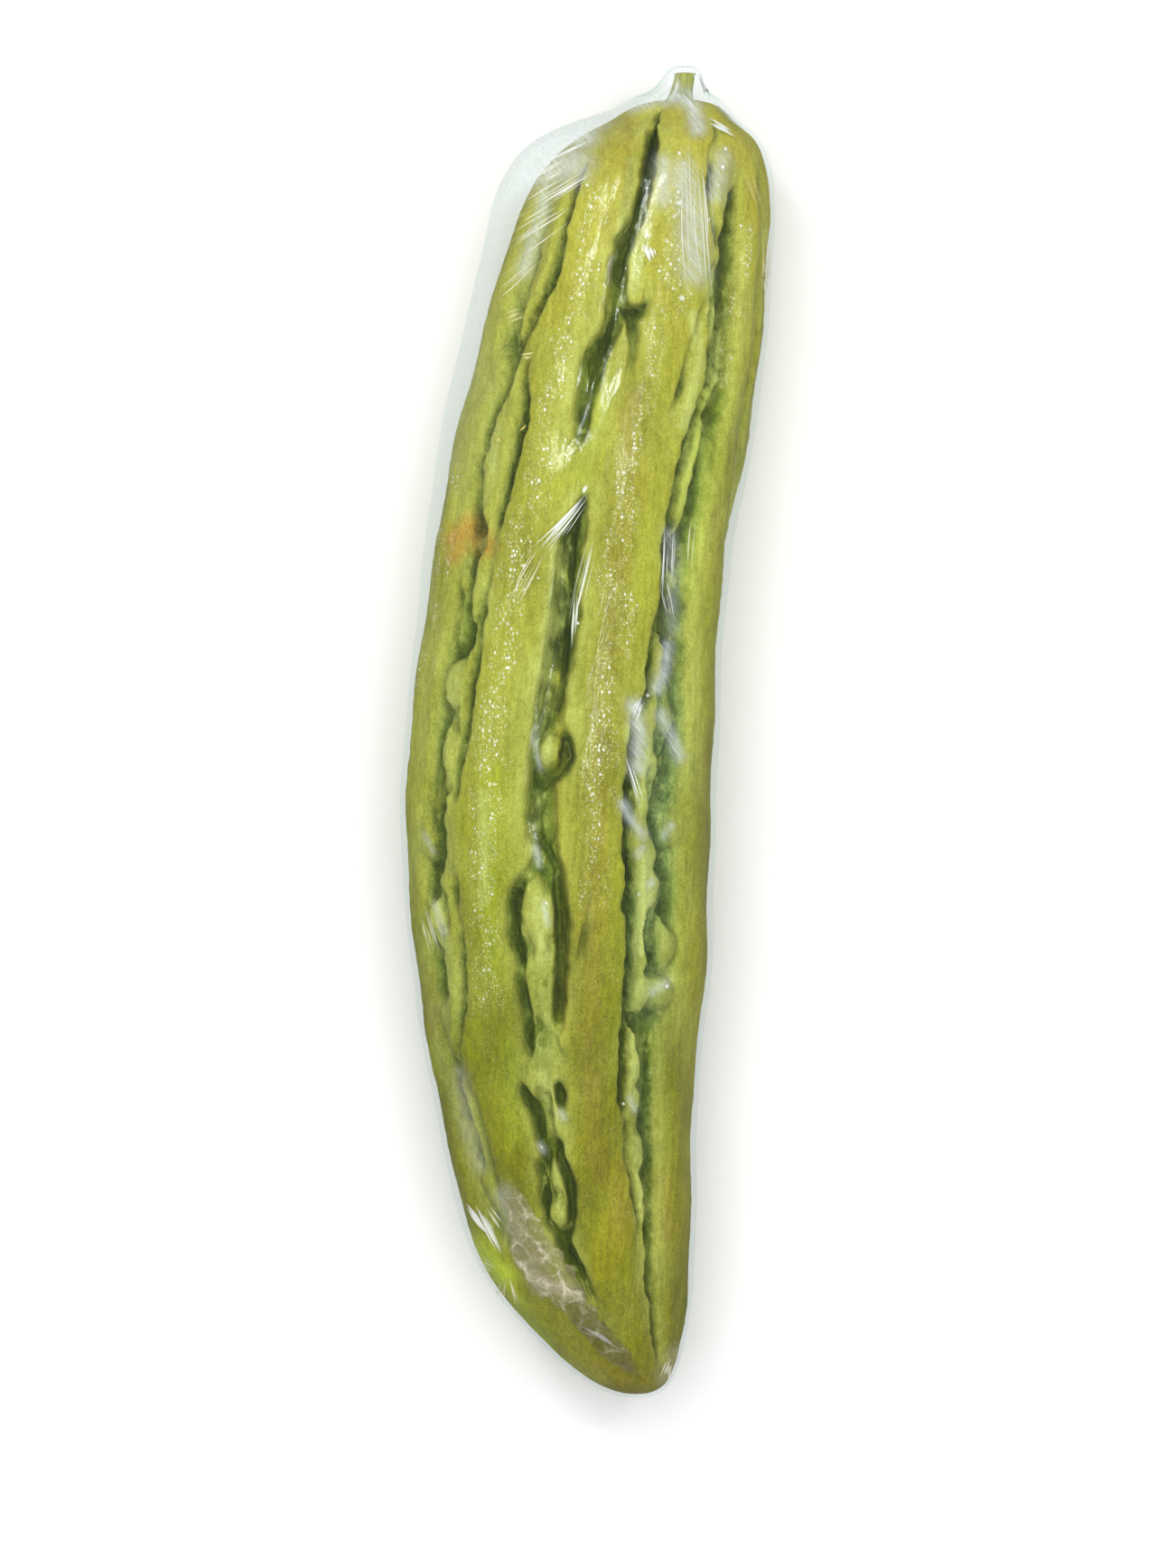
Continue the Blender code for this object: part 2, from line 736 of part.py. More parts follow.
def relief_depth(station, angle, radius):
    """How far the skin lies under the crests, in millimetres, for arrays of places."""
    underside_furrows, underside_lobes = underside_relief()
    furrows = [*map(seen_places, SEEN_FURROWS.values()), SIDE_FURROW, *underside_furrows]
    broad, shoulders = np.zeros(len(station)), np.zeros(len(station))
    for points in furrows:
        broad = np.maximum(broad, line_depth(station, angle, points))
        fall = line_depth(station, angle, points, SHOULDER_WIDTH, SHOULDER_DEPTH)
        shoulders = np.maximum(shoulders, fall)
    for lobe in (*seen_places(SEEN_LOBES), *SIDE_LOBES, *underside_lobes):
        broad -= lobe_height(station, angle, lobe)
    depth = np.maximum(broad, shoulders)
    for points in map(seen_places, GROOVES.values()):
        depth = np.maximum(depth, line_depth(station, angle, points))
    turn = np.radians(angle)
    lumps = np.sin(station / 6.1 + 2 * np.sin(3 * turn)) * np.sin(station / 13.7 + 5 * turn)
    depth += LUMP_HEIGHT * (1 + lumps)
    return RELIEF_STRENGTH * relief_fade(radius) * depth


def profile_length():
    """The crest profile as rows of distance along it, station, radius."""
    profile = np.asarray(CREST_PROFILE, float)
    lengths = np.r_[0, np.cumsum(np.linalg.norm(np.diff(profile, axis=0), axis=1))]
    return np.c_[lengths, profile]


def ring_places(share, end_rings):
    """Station, radius and outward slope of the crest profile at each share of the rings."""
    profile = profile_length()
    total = profile[-1, 0]
    from_stalk = [(part, length) for part, length in end_rings]
    from_tip = [(1 - part, total - length) for part, length in reversed(end_rings)]
    along = smooth(share, [(0, 0), *from_stalk, *from_tip, (1, total)])[:, 0]
    station, radius = smooth(along, profile).T
    ahead = smooth(np.clip(along + 0.2, 0, total), profile)
    behind = smooth(np.clip(along - 0.2, 0, total), profile)
    slope = (ahead - behind) / np.linalg.norm(ahead - behind, axis=1)[:, None]
    return station, radius, slope


def on_skin(station, angle, radius):
    """Points round the middle line, in upright sections square to Y, and the outward direction at each."""
    turn = np.radians(angle)
    outward = np.c_[np.sin(turn), np.zeros(len(turn)), np.cos(turn)]
    return smooth(station, MIDDLE_LINE) + radius[:, None] * outward, outward


def round_grid(segments, rings, crowding):
    """A unit UV sphere, its pole at the stalk end, with each vertex's share of the rings and its angle."""
    mesh = bmesh.new()
    bmesh.ops.create_uvsphere(mesh, u_segments=segments, v_segments=rings, radius=1)
    mesh.verts.ensure_lookup_table()
    places = np.array([vertex.co for vertex in mesh.verts])
    share = np.arccos(np.clip(places[:, 2], -1, 1)) / math.pi
    turn = np.arctan2(places[:, 1], places[:, 0])
    return mesh, share, np.degrees(turn) - crowding * np.sin(turn)


def place_vertices(mesh, points):
    for vertex, point in zip(mesh.verts, points):
        vertex.co = [float(value) * MM for value in point]


def gourd_mesh():
    mesh, share, angle = round_grid(SKIN_SEGMENTS, SKIN_RINGS, SKIN_CROWDING)
    station, radius, _ = ring_places(share, SKIN_END_RINGS)
    points, _ = on_skin(station, angle, radius - relief_depth(station, angle, radius))
    seat = (station < 20) & (radius < SEAT_RADIUS)
    points[seat] += SEAT_DEPTH * TOWARDS_TIP
    lowest = FILM_WALL + FILM_GAP
    points[:, 2] = np.maximum(points[:, 2], lowest)
    place_vertices(mesh, points)
    return mesh


def film_depth(station, angle, radius):
    """As deep as the highest skin between here and the film's next rings and columns."""
    next_ring = MIDDLE_LINE[-1][0] / FILM_RINGS
    crowded = 1 - math.radians(FILM_CROWDING) * np.cos(np.radians(angle))
    next_column = 360 / FILM_SEGMENTS * crowded
    least = np.full(len(station), np.inf)
    for along in np.linspace(-next_ring, next_ring, FILM_LOOKS):
        for across in np.linspace(-1, 1, FILM_LOOKS):
            here = relief_depth(station + along, angle + across * next_column, radius)
            least = np.minimum(least, here)
    return least


def film_mesh():
    """The film's inner face, open at the tip. Solidify gives it its wall."""
    mesh, share, angle = round_grid(FILM_SEGMENTS, FILM_RINGS, FILM_CROWDING)
    station, radius, slope = ring_places(share, FILM_END_RINGS)
    points, outward = on_skin(station, angle, radius - film_depth(station, angle, radius))
    square_on = slope[:, :1] * outward - slope[:, 1:] * TOWARDS_TIP
    share_of_sheet = np.clip(np.abs(turn_between(angle, SHEET_ANGLE)) / SHEET_SPREAD, 0, 1)
    standoff = smooth(station, SHEET_STANDOFF)[:, 0] * np.cos(share_of_sheet * math.pi / 2) ** 2
    rise = np.where(station < 30, smooth(radius, NUB_RISE)[:, 0], 0)
    points += (FILM_GAP + standoff)[:, None] * square_on - rise[:, None] * STALK_LEAN
    points[:, 2] = np.maximum(points[:, 2], FILM_WALL)
    tip = [v for v, s, r in zip(mesh.verts, station, radius) if s > 200 and r < VENT_RADIUS]
    place_vertices(mesh, points)
    bmesh.ops.delete(mesh, geom=tip, context="VERTS")
    bmesh.ops.triangulate(mesh, faces=mesh.faces[:], quad_method="FIXED")
    return mesh


def upright_edges(faces):
    edges = {edge for face in faces for edge in face.edges}
    return [edge for edge in edges if abs(edge.verts[0].co.z - edge.verts[1].co.z) > STALK_LENGTH / 2]


def stalk_mesh():
    """A short stub with a flared foot and a cut end."""
    mesh = bmesh.new()
    bmesh.ops.create_cone(
        mesh,
        cap_ends=True,
        segments=STALK_SIDES,
        radius1=STALK_FOOT_RADIUS,
        radius2=STALK_RADIUS,
        depth=STALK_LENGTH,
    )
    sides = [face for face in mesh.faces if len(face.verts) == 4]
    bmesh.ops.subdivide_edges(mesh, edges=upright_edges(sides), cuts=3)
    seat = np.array(MIDDLE_LINE[0][1:]) + (SEAT_DEPTH - STALK_GAP) * TOWARDS_TIP
    points = []
    for vertex in mesh.verts:
        height = vertex.co.z + STALK_LENGTH / 2
        share = height / STALK_LENGTH
        target = STALK_RADIUS + (STALK_FOOT_RADIUS - STALK_RADIUS) * (1 - share) ** 4
        around = math.hypot(vertex.co.x, vertex.co.y)
        scale = target / around if around > 0.1 else 1
        ribs = 1 + 0.07 * math.cos(5 * math.atan2(vertex.co.y, vertex.co.x))
        across = np.array((vertex.co.y, 0, vertex.co.x)) * scale * ribs
        points.append(seat + across - height * STALK_LEAN)
    place_vertices(mesh, points)
    return mesh


def plain_material(name, colour, roughness, alpha=1):
    material = bpy.data.materials.new(name)
    material.use_nodes = True
    surface = material.node_tree.nodes["Principled BSDF"]
    surface.inputs["Base Color"].default_value = colour
    surface.inputs["Roughness"].default_value = roughness
    surface.inputs["Metallic"].default_value = 0
    surface.inputs["Alpha"].default_value = alpha
    return material


def add_part(name, mesh, material, collection):
    data = bpy.data.meshes.new(name)
    mesh.to_mesh(data)
    mesh.free()
    data.materials.append(material)
    data.shade_smooth()
    part = bpy.data.objects.new(name, data)
    collection.objects.link(part)
    return part


def press_flat(part):
    """Turns the part's modifiers into mesh, and its lowest places into the flat spot that it lies on."""
    solid = part.evaluated_get(bpy.context.evaluated_depsgraph_get())
    part.data = bpy.data.meshes.new_from_object(solid)
    part.modifiers.clear()
    for vertex in part.data.vertices:
        if vertex.co.z < FLAT_SPOT_RISE * MM:
            vertex.co.z = 0


def build():
    for old in list(bpy.data.objects):
        bpy.data.objects.remove(old)
    collection = bpy.data.collections.new("bitter_gourd")
    bpy.context.scene.collection.children.link(collection)
    skin = plain_material("gourd skin", SKIN_COLOUR, 0.45)
    bark = plain_material("stalk", STALK_COLOUR, 0.6)
    clear = plain_material("cling film", FILM_COLOUR, 0.12, FILM_ALPHA)
    add_part("gourd", gourd_mesh(), skin, collection)
    stalk = add_part("stalk", stalk_mesh(), bark, collection)
    stalk.data.set_sharp_from_angle(angle=math.radians(50))
    film = add_part("film", film_mesh(), clear, collection)
    wall = film.modifiers.new("wall", "SOLIDIFY")
    wall.thickness = FILM_WALL * MM
    wall.offset = 1
    press_flat(film)


build()
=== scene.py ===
# %% [markdown]
# # A bitter gourd in cling film
# A bitter gourd is a long, ridged fruit of the squash family. This one lies on its side, wrapped all
# round in clear film, and the camera looks straight down at it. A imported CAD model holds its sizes.
# This script keeps that model as its frame and lays a finer skin, film and stalk over it, each with
# its own finish. Sizes are millimetres here, and become metres as they reach a mesh.

import math

import bmesh
import bpy
import numpy as np
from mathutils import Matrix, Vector, noise
from mathutils.bvhtree import BVHTree


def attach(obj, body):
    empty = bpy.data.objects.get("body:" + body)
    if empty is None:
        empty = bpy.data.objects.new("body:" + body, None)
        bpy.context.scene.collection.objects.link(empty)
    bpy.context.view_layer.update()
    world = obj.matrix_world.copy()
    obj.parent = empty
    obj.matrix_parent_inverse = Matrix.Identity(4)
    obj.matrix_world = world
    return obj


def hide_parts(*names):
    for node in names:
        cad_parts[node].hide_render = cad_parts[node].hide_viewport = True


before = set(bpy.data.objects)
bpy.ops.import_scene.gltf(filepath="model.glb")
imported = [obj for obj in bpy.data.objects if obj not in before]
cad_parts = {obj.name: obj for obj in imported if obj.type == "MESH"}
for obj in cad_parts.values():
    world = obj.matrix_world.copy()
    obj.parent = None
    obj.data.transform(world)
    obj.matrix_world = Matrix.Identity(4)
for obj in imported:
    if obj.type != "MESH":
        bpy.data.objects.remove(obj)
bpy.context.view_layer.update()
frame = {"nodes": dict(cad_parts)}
MM = 0.001
print("CAD nodes:", ", ".join(frame["nodes"]))

# %% [markdown]
# ## Camera
# The photograph is a long view with almost no perspective, so the camera stands 1.6 metres above the
# middle of the fruit with a long lens, and looks straight down. The lens follows from how much of
# that height's plane the picture takes in.

# %% Camera
PIXELS_PER_MM = 5.086
PICTURE_SIZE = np.array((1302, 1736))
PICTURE_MIDDLE = PICTURE_SIZE / 2
MIDDLE_SHOWS = np.array((-0.2, -11.5))  # x and y of what the picture's middle pixel shows
VIEW_PLANE, VIEW_DISTANCE = 33, 1600  # the plane that the scale holds on, and the eye's height over it
SENSOR = 36

eye = bpy.data.cameras.new("eye")
eye.sensor_width = SENSOR
eye.lens = SENSOR * VIEW_DISTANCE / (PICTURE_SIZE[1] / PIXELS_PER_MM)
eye_place = Vector((*MIDDLE_SHOWS, VIEW_PLANE + VIEW_DISTANCE)) * MM
camera = bpy.data.objects.new("camera", eye)
camera.location = eye_place
bpy.context.scene.collection.objects.link(camera)
bpy.context.scene.camera = camera
print(f"lens {eye.lens:.1f} mm, {VIEW_DISTANCE} mm over the fruit's middle")

# %% [markdown]
# ## The fruit's form
# The real fruit is a bent, tapering round with broad ridges. Furrows run between them, and rows of
# lobes swell up out of the furrows. It could be sculpted by hand, but then the fine mesh and the CAD
# solid would drift apart. Instead both use the same tables: a middle line, the round that the crests
# reach, and furrows, grooves and lobes that were read off the photograph, in its pixels. A
# place on the skin is a station, the distance along the middle line from the stalk end, and an angle
# round that line, 0 on top and 90 at +X.

# %% The middle line and the round of the crests
# The fruit's middle line: station, x, y, z. It bows towards -X, and both ends lift a little.
MIDDLE_LINE = (
    (0, 19.7, 137.5, 36.0), (5, 17.9, 132.7, 35.2), (16, 14.5, 122.2, 33.8),
    (36, 10.2, 103.1, 31.5), (56, 6.8, 83.5, 31.2), (76, 2.9, 63.8, 31.8), (116, -3.8, 24.5, 32.3),
    (155, -6.5, -14.8, 33.4), (194, -6.1, -54.2, 32.0), (214, -5.5, -73.8, 30.6),
    (234, -3.7, -93.5, 29.9), (254, -1.3, -113.2, 30.2), (264, 1.4, -123.0, 30.6),
    (274, 4.9, -132.6, 31.1), (287, 10.4, -144.4, 32.0),
)

# The round that the ridges reach: station, radius. It has a full shoulder at the stalk end and a
# blunt point at the other.
CREST_PROFILE = (
    (0, 0), (0.6, 4.6), (1.9, 9.0), (5.2, 13.6), (10.3, 20.7), (16, 24.6), (25, 27.5), (36, 29.6),
    (56, 31.6), (76, 32.4), (116, 32.9), (155, 33.95), (175, 33.5), (194, 32.0), (214, 29.1),
    (234, 26.9), (254, 24.0), (264, 20.5), (274, 15.3), (280, 11.5), (285, 6.6), (286.5, 3.4),
    (287, 0),
)
TOWARDS_TIP = np.array((0, -1, 0))
STALK_LEAN = np.array((-0.2, -0.98, -0.06))  # the stalk points the other way
USUAL_RADIUS = 33
ARC_PER_DEGREE = math.radians(USUAL_RADIUS)  # millimetres round the fruit for one degree
FULL_RELIEF_RADIUS = 21  # ridges and furrows are at full height where the fruit is thicker than this
MOST_SIDEWAYS = 0.985  # of the radius: a reading further out is taken to lie here
EDGE_SHARE = 0.8  # of a line's half width: how far its hiding edge is from its middle
FRUIT_LENGTH = MIDDLE_LINE[-1][0]
thickest = max(radius for _, radius in CREST_PROFILE)
print(f"the middle line is {FRUIT_LENGTH} mm long, and the crests reach {thickest} mm from it")

# %% [markdown]
# A furrow is a broad valley between two ridges. A groove is a narrow slit, mostly beside a lobe or at
# a furrow's edge, and a lobe is a dome on a furrow's floor. They could be placed by chance, but the
# photograph shows most of them, so each is read off it as a line of places.

# %% The furrows, grooves and lobes
# Relief is depth under the crests. A furrow or groove is a line of places, each with its half
# width and its depth.
RELIEF_STRENGTH = 1.3  # all the depths below are multiplied by this
FLOOR_SHARE = 0.25  # of a furrow's half width
SHOULDER_WIDTH, SHOULDER_DEPTH = 6, 1.0
# Picture x, picture y, half width, depth.
SEEN_FURROWS = {
    "top, stalk end": (
        (729, 117, 1.5, 1), (726, 135, 2.6, 3), (723, 160, 3, 4.2), (717, 200, 3.2, 5),
        (708, 236, 3.4, 5), (695, 264, 3.6, 5), (687, 300, 3.8, 5), (683, 332, 4, 5),
        (677, 366, 4, 5), (664, 394, 4.4, 5), (655, 424, 4.2, 4.8), (649, 455, 3.8, 4.4),
        (644, 480, 2.8, 3), (640, 497, 2, 1),
    ),
    "top, middle": (
        (648, 550, 2, 1.5), (642, 575, 3.2, 4), (635, 600, 4.2, 5), (631, 640, 4.6, 5),
        (627, 680, 5, 5.2), (622, 715, 5, 5.2), (616, 750, 5, 5), (610, 790, 5, 5),
        (606, 830, 5.4, 5), (602, 870, 5, 4.8), (602, 910, 5, 4.6), (600, 960, 5.4, 4),
        (598, 1010, 5.8, 3.8), (600, 1060, 5.6, 3.8), (603, 1110, 5, 3.8), (603, 1150, 4.4, 2.4),
        (601, 1190, 4, 1.6), (602, 1220, 4, 2.4), (608, 1260, 4.4, 3.6), (617, 1310, 4.4, 4),
        (622, 1350, 4, 4), (629, 1390, 3.4, 3.6), (641, 1420, 2.6, 2.8), (656, 1450, 2, 1.6),
        (670, 1478, 1.6, 0.8),
    ),
    "right": (
        (822, 205, 2, 1.5), (813, 225, 3.4, 3.4), (806, 250, 4.8, 4.6), (802, 280, 5.6, 5),
        (801, 310, 5.8, 5), (800, 340, 5.8, 5), (799, 370, 5.8, 5), (798, 400, 5.8, 4.8),
        (795, 430, 6, 4.4), (788, 455, 6.4, 4), (781, 485, 6.6, 4), (774, 515, 6.8, 4),
        (767, 545, 6.8, 4), (758, 575, 6.4, 4.4), (750, 605, 6, 4.8), (746, 640, 6, 4.8),
        (742, 680, 6.4, 4.8), (738, 720, 6.8, 4.8), (734, 760, 7.2, 4.8), (730, 800, 7.6, 4.8),
        (726, 850, 8, 4.8), (723, 910, 8, 4.8), (722, 970, 8, 4.8), (720, 1030, 8, 4.8),
        (717, 1085, 7.4, 4.8), (710, 1140, 6.6, 4.8), (706, 1200, 6, 4.8), (709, 1260, 5.4, 4.8),
        (713, 1320, 4.8, 4.6), (717, 1380, 4.2, 4.2), (721, 1430, 3.4, 3.8), (726, 1470, 3, 3.2),
        (733, 1502, 2, 1.4),
    ),
    "left": (
        (608, 215, 3, 1), (600, 250, 4.4, 1.6), (590, 290, 5.2, 2.2), (580, 330, 5.8, 2.6),
        (570, 370, 6.4, 3), (563, 410, 6.8, 3.2), (556, 460, 7.4, 3.2), (548, 510, 7.4, 3.2),
        (539, 560, 7.2, 3), (530, 620, 7.4, 3), (520, 670, 7.6, 3), (511, 720, 7.6, 3),
        (503, 770, 7.6, 3), (497, 820, 7.6, 3), (492, 870, 7.6, 3), (487, 920, 7.6, 3.2),
        (486, 970, 7.4, 3), (487, 1020, 7.4, 3), (489, 1060, 7, 3), (492, 1110, 6.4, 3),
        (496, 1160, 5.6, 2.8), (509, 1210, 4.8, 2.4), (525, 1260, 4.4, 2.6), (538, 1310, 3.8, 2.4),
        (548, 1350, 2.8, 1.4),
    ),
}
GROOVES = {
    "under the first lobe": (
        (684, 344, 2.4, 4.8), (697, 349, 2.4, 4.4), (708, 344, 2.2, 3.2), (717, 332, 2, 1.8),
        (719, 308, 1.8, 0.8),
    ),
    "below the first lobe": (
        (697, 352, 2, 3), (701, 372, 2, 2.2), (699, 396, 1.8, 1.6), (694, 424, 1.6, 0.9),
        (690, 446, 1.4, 0.4),
    ),
    "top, steep bank": (
        (679, 366, 1.8, 4.8), (670, 390, 2, 5.4), (662, 414, 2, 5.4), (655, 440, 2, 5),
        (650, 462, 1.8, 4),
    ),
    "right, first branch": (
        (793, 138, 1.6, 1), (789, 165, 2, 2.2), (787, 190, 2.2, 2.8), (785, 215, 2.4, 3),
        (787, 240, 2.4, 3), (793, 264, 2.4, 3),
    ),
    "right, beside the leaf lobe": (
        (778, 343, 1.6, 2), (771, 368, 1.8, 2.6), (763, 392, 1.8, 2.8), (757, 415, 1.8, 2.6),
        (751, 438, 1.8, 1.8), (746, 458, 1.4, 0.6),
    ),
    "right, bank of the leaf lobe": (
        (790, 300, 2, 4.6), (791, 325, 2, 5.2), (789, 350, 2.2, 5.4), (788, 375, 2.2, 5.6),
        (787, 402, 2.2, 5.6), (784, 428, 2.4, 5.4), (776, 451, 2.4, 5.2), (768, 472, 2.4, 5),
        (761, 492, 2.4, 5), (755, 513, 2.4, 5), (749, 534, 2.4, 4.8), (745, 554, 2.4, 4.8),
    ),
    "right, deep": (
        (744, 566, 2.4, 4.8), (740, 588, 3, 5.4), (738, 612, 3.2, 5.6), (736, 640, 3.2, 5.6),
        (733, 666, 3.2, 5.4), (729, 692, 3, 5.4), (723, 712, 2.4, 4.8), (720, 735, 2.2, 4.8),
        (719, 757, 2.4, 5.2), (716, 773, 2.2, 4.4), (708, 786, 2.2, 3.2),
    ),
    "right, bank of the ridge": (
        (701, 800, 2.2, 3.4), (699, 830, 2.4, 4.8), (698, 862, 2.4, 5), (695, 888, 2.4, 5),
        (692, 925, 2.4, 5.2), (694, 965, 2.6, 5.4), (697, 1010, 2.6, 5.4), (696, 1055, 2.6, 5.4),
        (692, 1100, 2.4, 5.2), (690, 1140, 2.4, 5), (689, 1180, 2.2, 4.8), (685, 1206, 2.2, 4.6),
        (688, 1227, 1.8, 2.6),
    ),
    "right, pale lobe's left": ((704, 818, 2, 4.6), (705, 832, 2.4, 5.2), (702, 845, 2, 4.6)),
    "right, pale lobe's right": ((728, 815, 2, 4), (733, 826, 2.6, 5.4), (734, 839, 2, 4)),
    "right, between the lobes": (
        (722, 858, 1.8, 3.4), (725, 876, 2.2, 5), (729, 896, 2.2, 4.8), (731, 912, 1.8, 3),
    ),
    "right, hook": (
        (738, 980, 1.8, 2.6), (734, 1000, 2, 4.8), (725, 1013, 2.2, 5.4), (719, 1029, 2.4, 5.6),
        (720, 1048, 2.4, 5.6), (724, 1068, 2.4, 5.2), (729, 1084, 2, 2.8),
    ),
    "right, far bank": (
        (698, 1124, 2.4, 4.8), (706, 1132, 2.2, 4.6), (712, 1147, 2.2, 5), (713, 1168, 2.4, 5.4),
        (714, 1190, 2.4, 5.4), (718, 1212, 2.4, 5.4), (719, 1232, 2.2, 5.2), (717, 1250, 2.2, 5),
        (719, 1270, 2.2, 5), (720, 1290, 2.4, 5.2), (717, 1303, 2, 4.8), (720, 1320, 2, 4.8),
        (721, 1340, 2.2, 5), (717, 1360, 2.2, 4.8), (719, 1380, 2.4, 5), (720, 1400, 2.8, 5.2),
        (719, 1418, 3, 5.4), (720, 1430, 2.4, 4.8), (725, 1443, 2.6, 5.2), (725, 1456, 2.4, 4.8),
        (725, 1470, 2.6, 5), (728, 1485, 2.6, 4.8), (732, 1498, 2, 3.4), (736, 1508, 1.4, 1),
    ),
    "right, lower bank of the ridge": (
        (694, 1243, 1.6, 3), (693, 1262, 1.8, 3.2), (696, 1290, 1.8, 3.2), (701, 1318, 1.8, 3.2),
        (704, 1338, 1.8, 3.4), (709, 1356, 1.6, 2.6), (706, 1380, 1.4, 1.2),
    ),
    "ridge, lower": (
        (657, 988, 1.2, 0.6), (652, 1020, 1.6, 1.8), (646, 1045, 1.6, 2), (640, 1070, 1.2, 0.8),
    ),
    "left of the broad ridge, top": (
        (648, 186, 2, 2), (640, 205, 2.4, 3.4), (633, 232, 2.6, 4.2), (625, 256, 2.6, 4.8),
        (621, 280, 2.8, 5), (617, 304, 2.8, 5), (607, 326, 2.8, 4.8), (596, 344, 2.8, 4.6),
        (586, 364, 3, 4.8), (576, 384, 3.2, 5), (567, 402, 3, 5), (561, 418, 2.6, 4.8),
        (556, 436, 2.6, 4.8), (546, 452, 2.4, 4.6), (538, 468, 2.4, 4.6), (532, 488, 2.4, 4.4),
        (529, 508, 2.2, 4), (527, 530, 2, 3.2), (524, 552, 1.8, 2),
    ),
    "left of the broad ridge": (
        (583, 402, 1.8, 2), (580, 425, 2.2, 3.8), (583, 450, 2.6, 4.8), (582, 470, 2.8, 5),
        (575, 492, 2.8, 5), (571, 512, 2.6, 4.8), (566, 534, 2.6, 4.8), (559, 556, 2.4, 4.4),
        (553, 578, 2.6, 4.6), (547, 598, 2.2, 3.8), (544, 618, 2, 3.6), (542, 640, 2.2, 4.4),
        (536, 664, 2.4, 4.6), (531, 690, 2.4, 4.4), (529, 714, 2.2, 4), (526, 738, 2.2, 4),
        (522, 762, 2.2, 4), (519, 790, 2.2, 4.2), (514, 815, 2.4, 4.2), (509, 840, 2.6, 4.6),
        (506, 860, 2.4, 4.6), (504, 880, 2, 3),
    ),
    "left, small lobe's far side": (
        (528, 602, 1.8, 3), (519, 611, 2.2, 4), (515, 632, 2.4, 4.4), (513, 660, 2.4, 4.4),
        (510, 688, 2.6, 4.6), (508, 708, 3, 5), (503, 722, 2.6, 4), (495, 730, 1.8, 1.6),
    ),
    "left, crescent": (
        (472, 778, 1.4, 1), (480, 784, 1.8, 2.8), (485, 798, 2.4, 4), (484, 815, 2, 3.2),
        (480, 828, 1.6, 1.4),
    ),
    "left, dip": ((482, 856, 1.6, 2), (483, 872, 2.2, 3.4), (483, 884, 2.2, 3.6)),
    "left, slot": (
        (461, 896, 1.6, 1.4), (470, 897, 2.2, 3.4), (480, 899, 2.8, 5), (484, 912, 3, 5.2),
        (487, 930, 3, 5.2), (484, 948, 2.6, 4.8), (478, 962, 2, 3),
    ),
    "left, pit by the ridge": ((503, 976, 1.8, 3), (504, 991, 2.4, 4.6), (503, 1005, 1.6, 2)),
    "left, lower slot": (
        (475, 985, 1.6, 2.8), (485, 988, 2.4, 4.6), (488, 1004, 2, 4.2), (493, 1021, 1.8, 2.4),
    ),
    "left, line": (
        (469, 1044, 1.2, 1), (476, 1062, 1.4, 1.8), (481, 1080, 1.4, 1.8), (484, 1096, 1.2, 0.8),
    ),
    "left, lower bank of the ridge": (
        (508, 1012, 1.6, 1.6), (511, 1040, 2, 3), (512, 1065, 2.2, 3.6), (512, 1092, 2.6, 4.4),
        (511, 1120, 2.4, 4.2), (509, 1148, 2.6, 4.4), (505, 1168, 2.4, 4), (506, 1184, 1.8, 2),
        (513, 1198, 1.8, 1.8), (521, 1217, 2, 2.4), (530, 1242, 2.2, 3), (539, 1268, 2.2, 3.2),
        (545, 1296, 2.2, 3.4), (549, 1322, 1.8, 2.4),
    ),
    "middle, behind the bead": (
        (624, 812, 1.8, 3.6), (627, 830, 2.2, 5), (624, 848, 2.2, 5), (612, 860, 2.2, 4.8),
        (601, 870, 3.2, 5.6),
    ),
    "left of the long lobe": (
        (598, 948, 1.8, 3), (588, 968, 2, 4.2), (579, 985, 2.2, 4.8), (574, 1005, 2.4, 5.2),
        (573, 1025, 2.4, 5.2), (577, 1045, 2.2, 5), (582, 1063, 2, 4.6), (582, 1085, 2, 4.2),
        (585, 1105, 2.2, 4.8), (589, 1125, 2.2, 5), (589, 1145, 2, 4.4), (586, 1162, 1.8, 2),
    ),
    "right of the long lobe": (
        (600, 882, 2.2, 5), (598, 905, 2, 5), (600, 928, 2.2, 5), (609, 944, 2.2, 5.2),
        (617, 962, 2.4, 5.4), (619, 990, 2.4, 5.6), (622, 1020, 2.4, 5.6), (622, 1050, 2.4, 5.4),
        (620, 1085, 2.6, 5.4), (619, 1115, 2.2, 5), (617, 1138, 1.8, 2.6),
    ),
    "below the long lobe": ((614, 1152, 1.4, 1.8), (620, 1164, 1.6, 2.2), (624, 1177, 1.2, 1)),
    "pit over the last lobe": ((617, 1203, 1.6, 2.8), (621, 1213, 2.2, 4.6), (623, 1224, 1.6, 2.6)),
    "left of the last lobe, top": (
        (579, 1203, 1.8, 2.6), (587, 1215, 2.2, 4.8), (595, 1227, 2.4, 5.4), (600, 1242, 2.6, 5.6),
        (602, 1257, 2.2, 4.8), (604, 1269, 1.6, 1.8),
    ),
    "left of the last lobe": (
        (599, 1289, 1.8, 3), (605, 1308, 2.2, 4.8), (608, 1330, 2.2, 4.8), (610, 1350, 2, 4.4),
        (619, 1366, 2, 3.6),
    ),
    "right of the last lobe": (
        (609, 1265, 1.6, 2.6), (619, 1268, 2, 4.6), (623, 1283, 2.2, 5.2), (629, 1298, 2.4, 5.2),
        (633, 1318, 2.4, 5.2), (634, 1340, 2.4, 5.2), (632, 1358, 2.2, 5), (628, 1373, 2.2, 4),
        (637, 1393, 2.4, 3.8), (646, 1412, 2.2, 3.2), (655, 1433, 2, 2.6), (662, 1452, 1.8, 2.2),
        (672, 1474, 1.6, 1.4), (684, 1490, 1.4, 0.6),
    ),
}
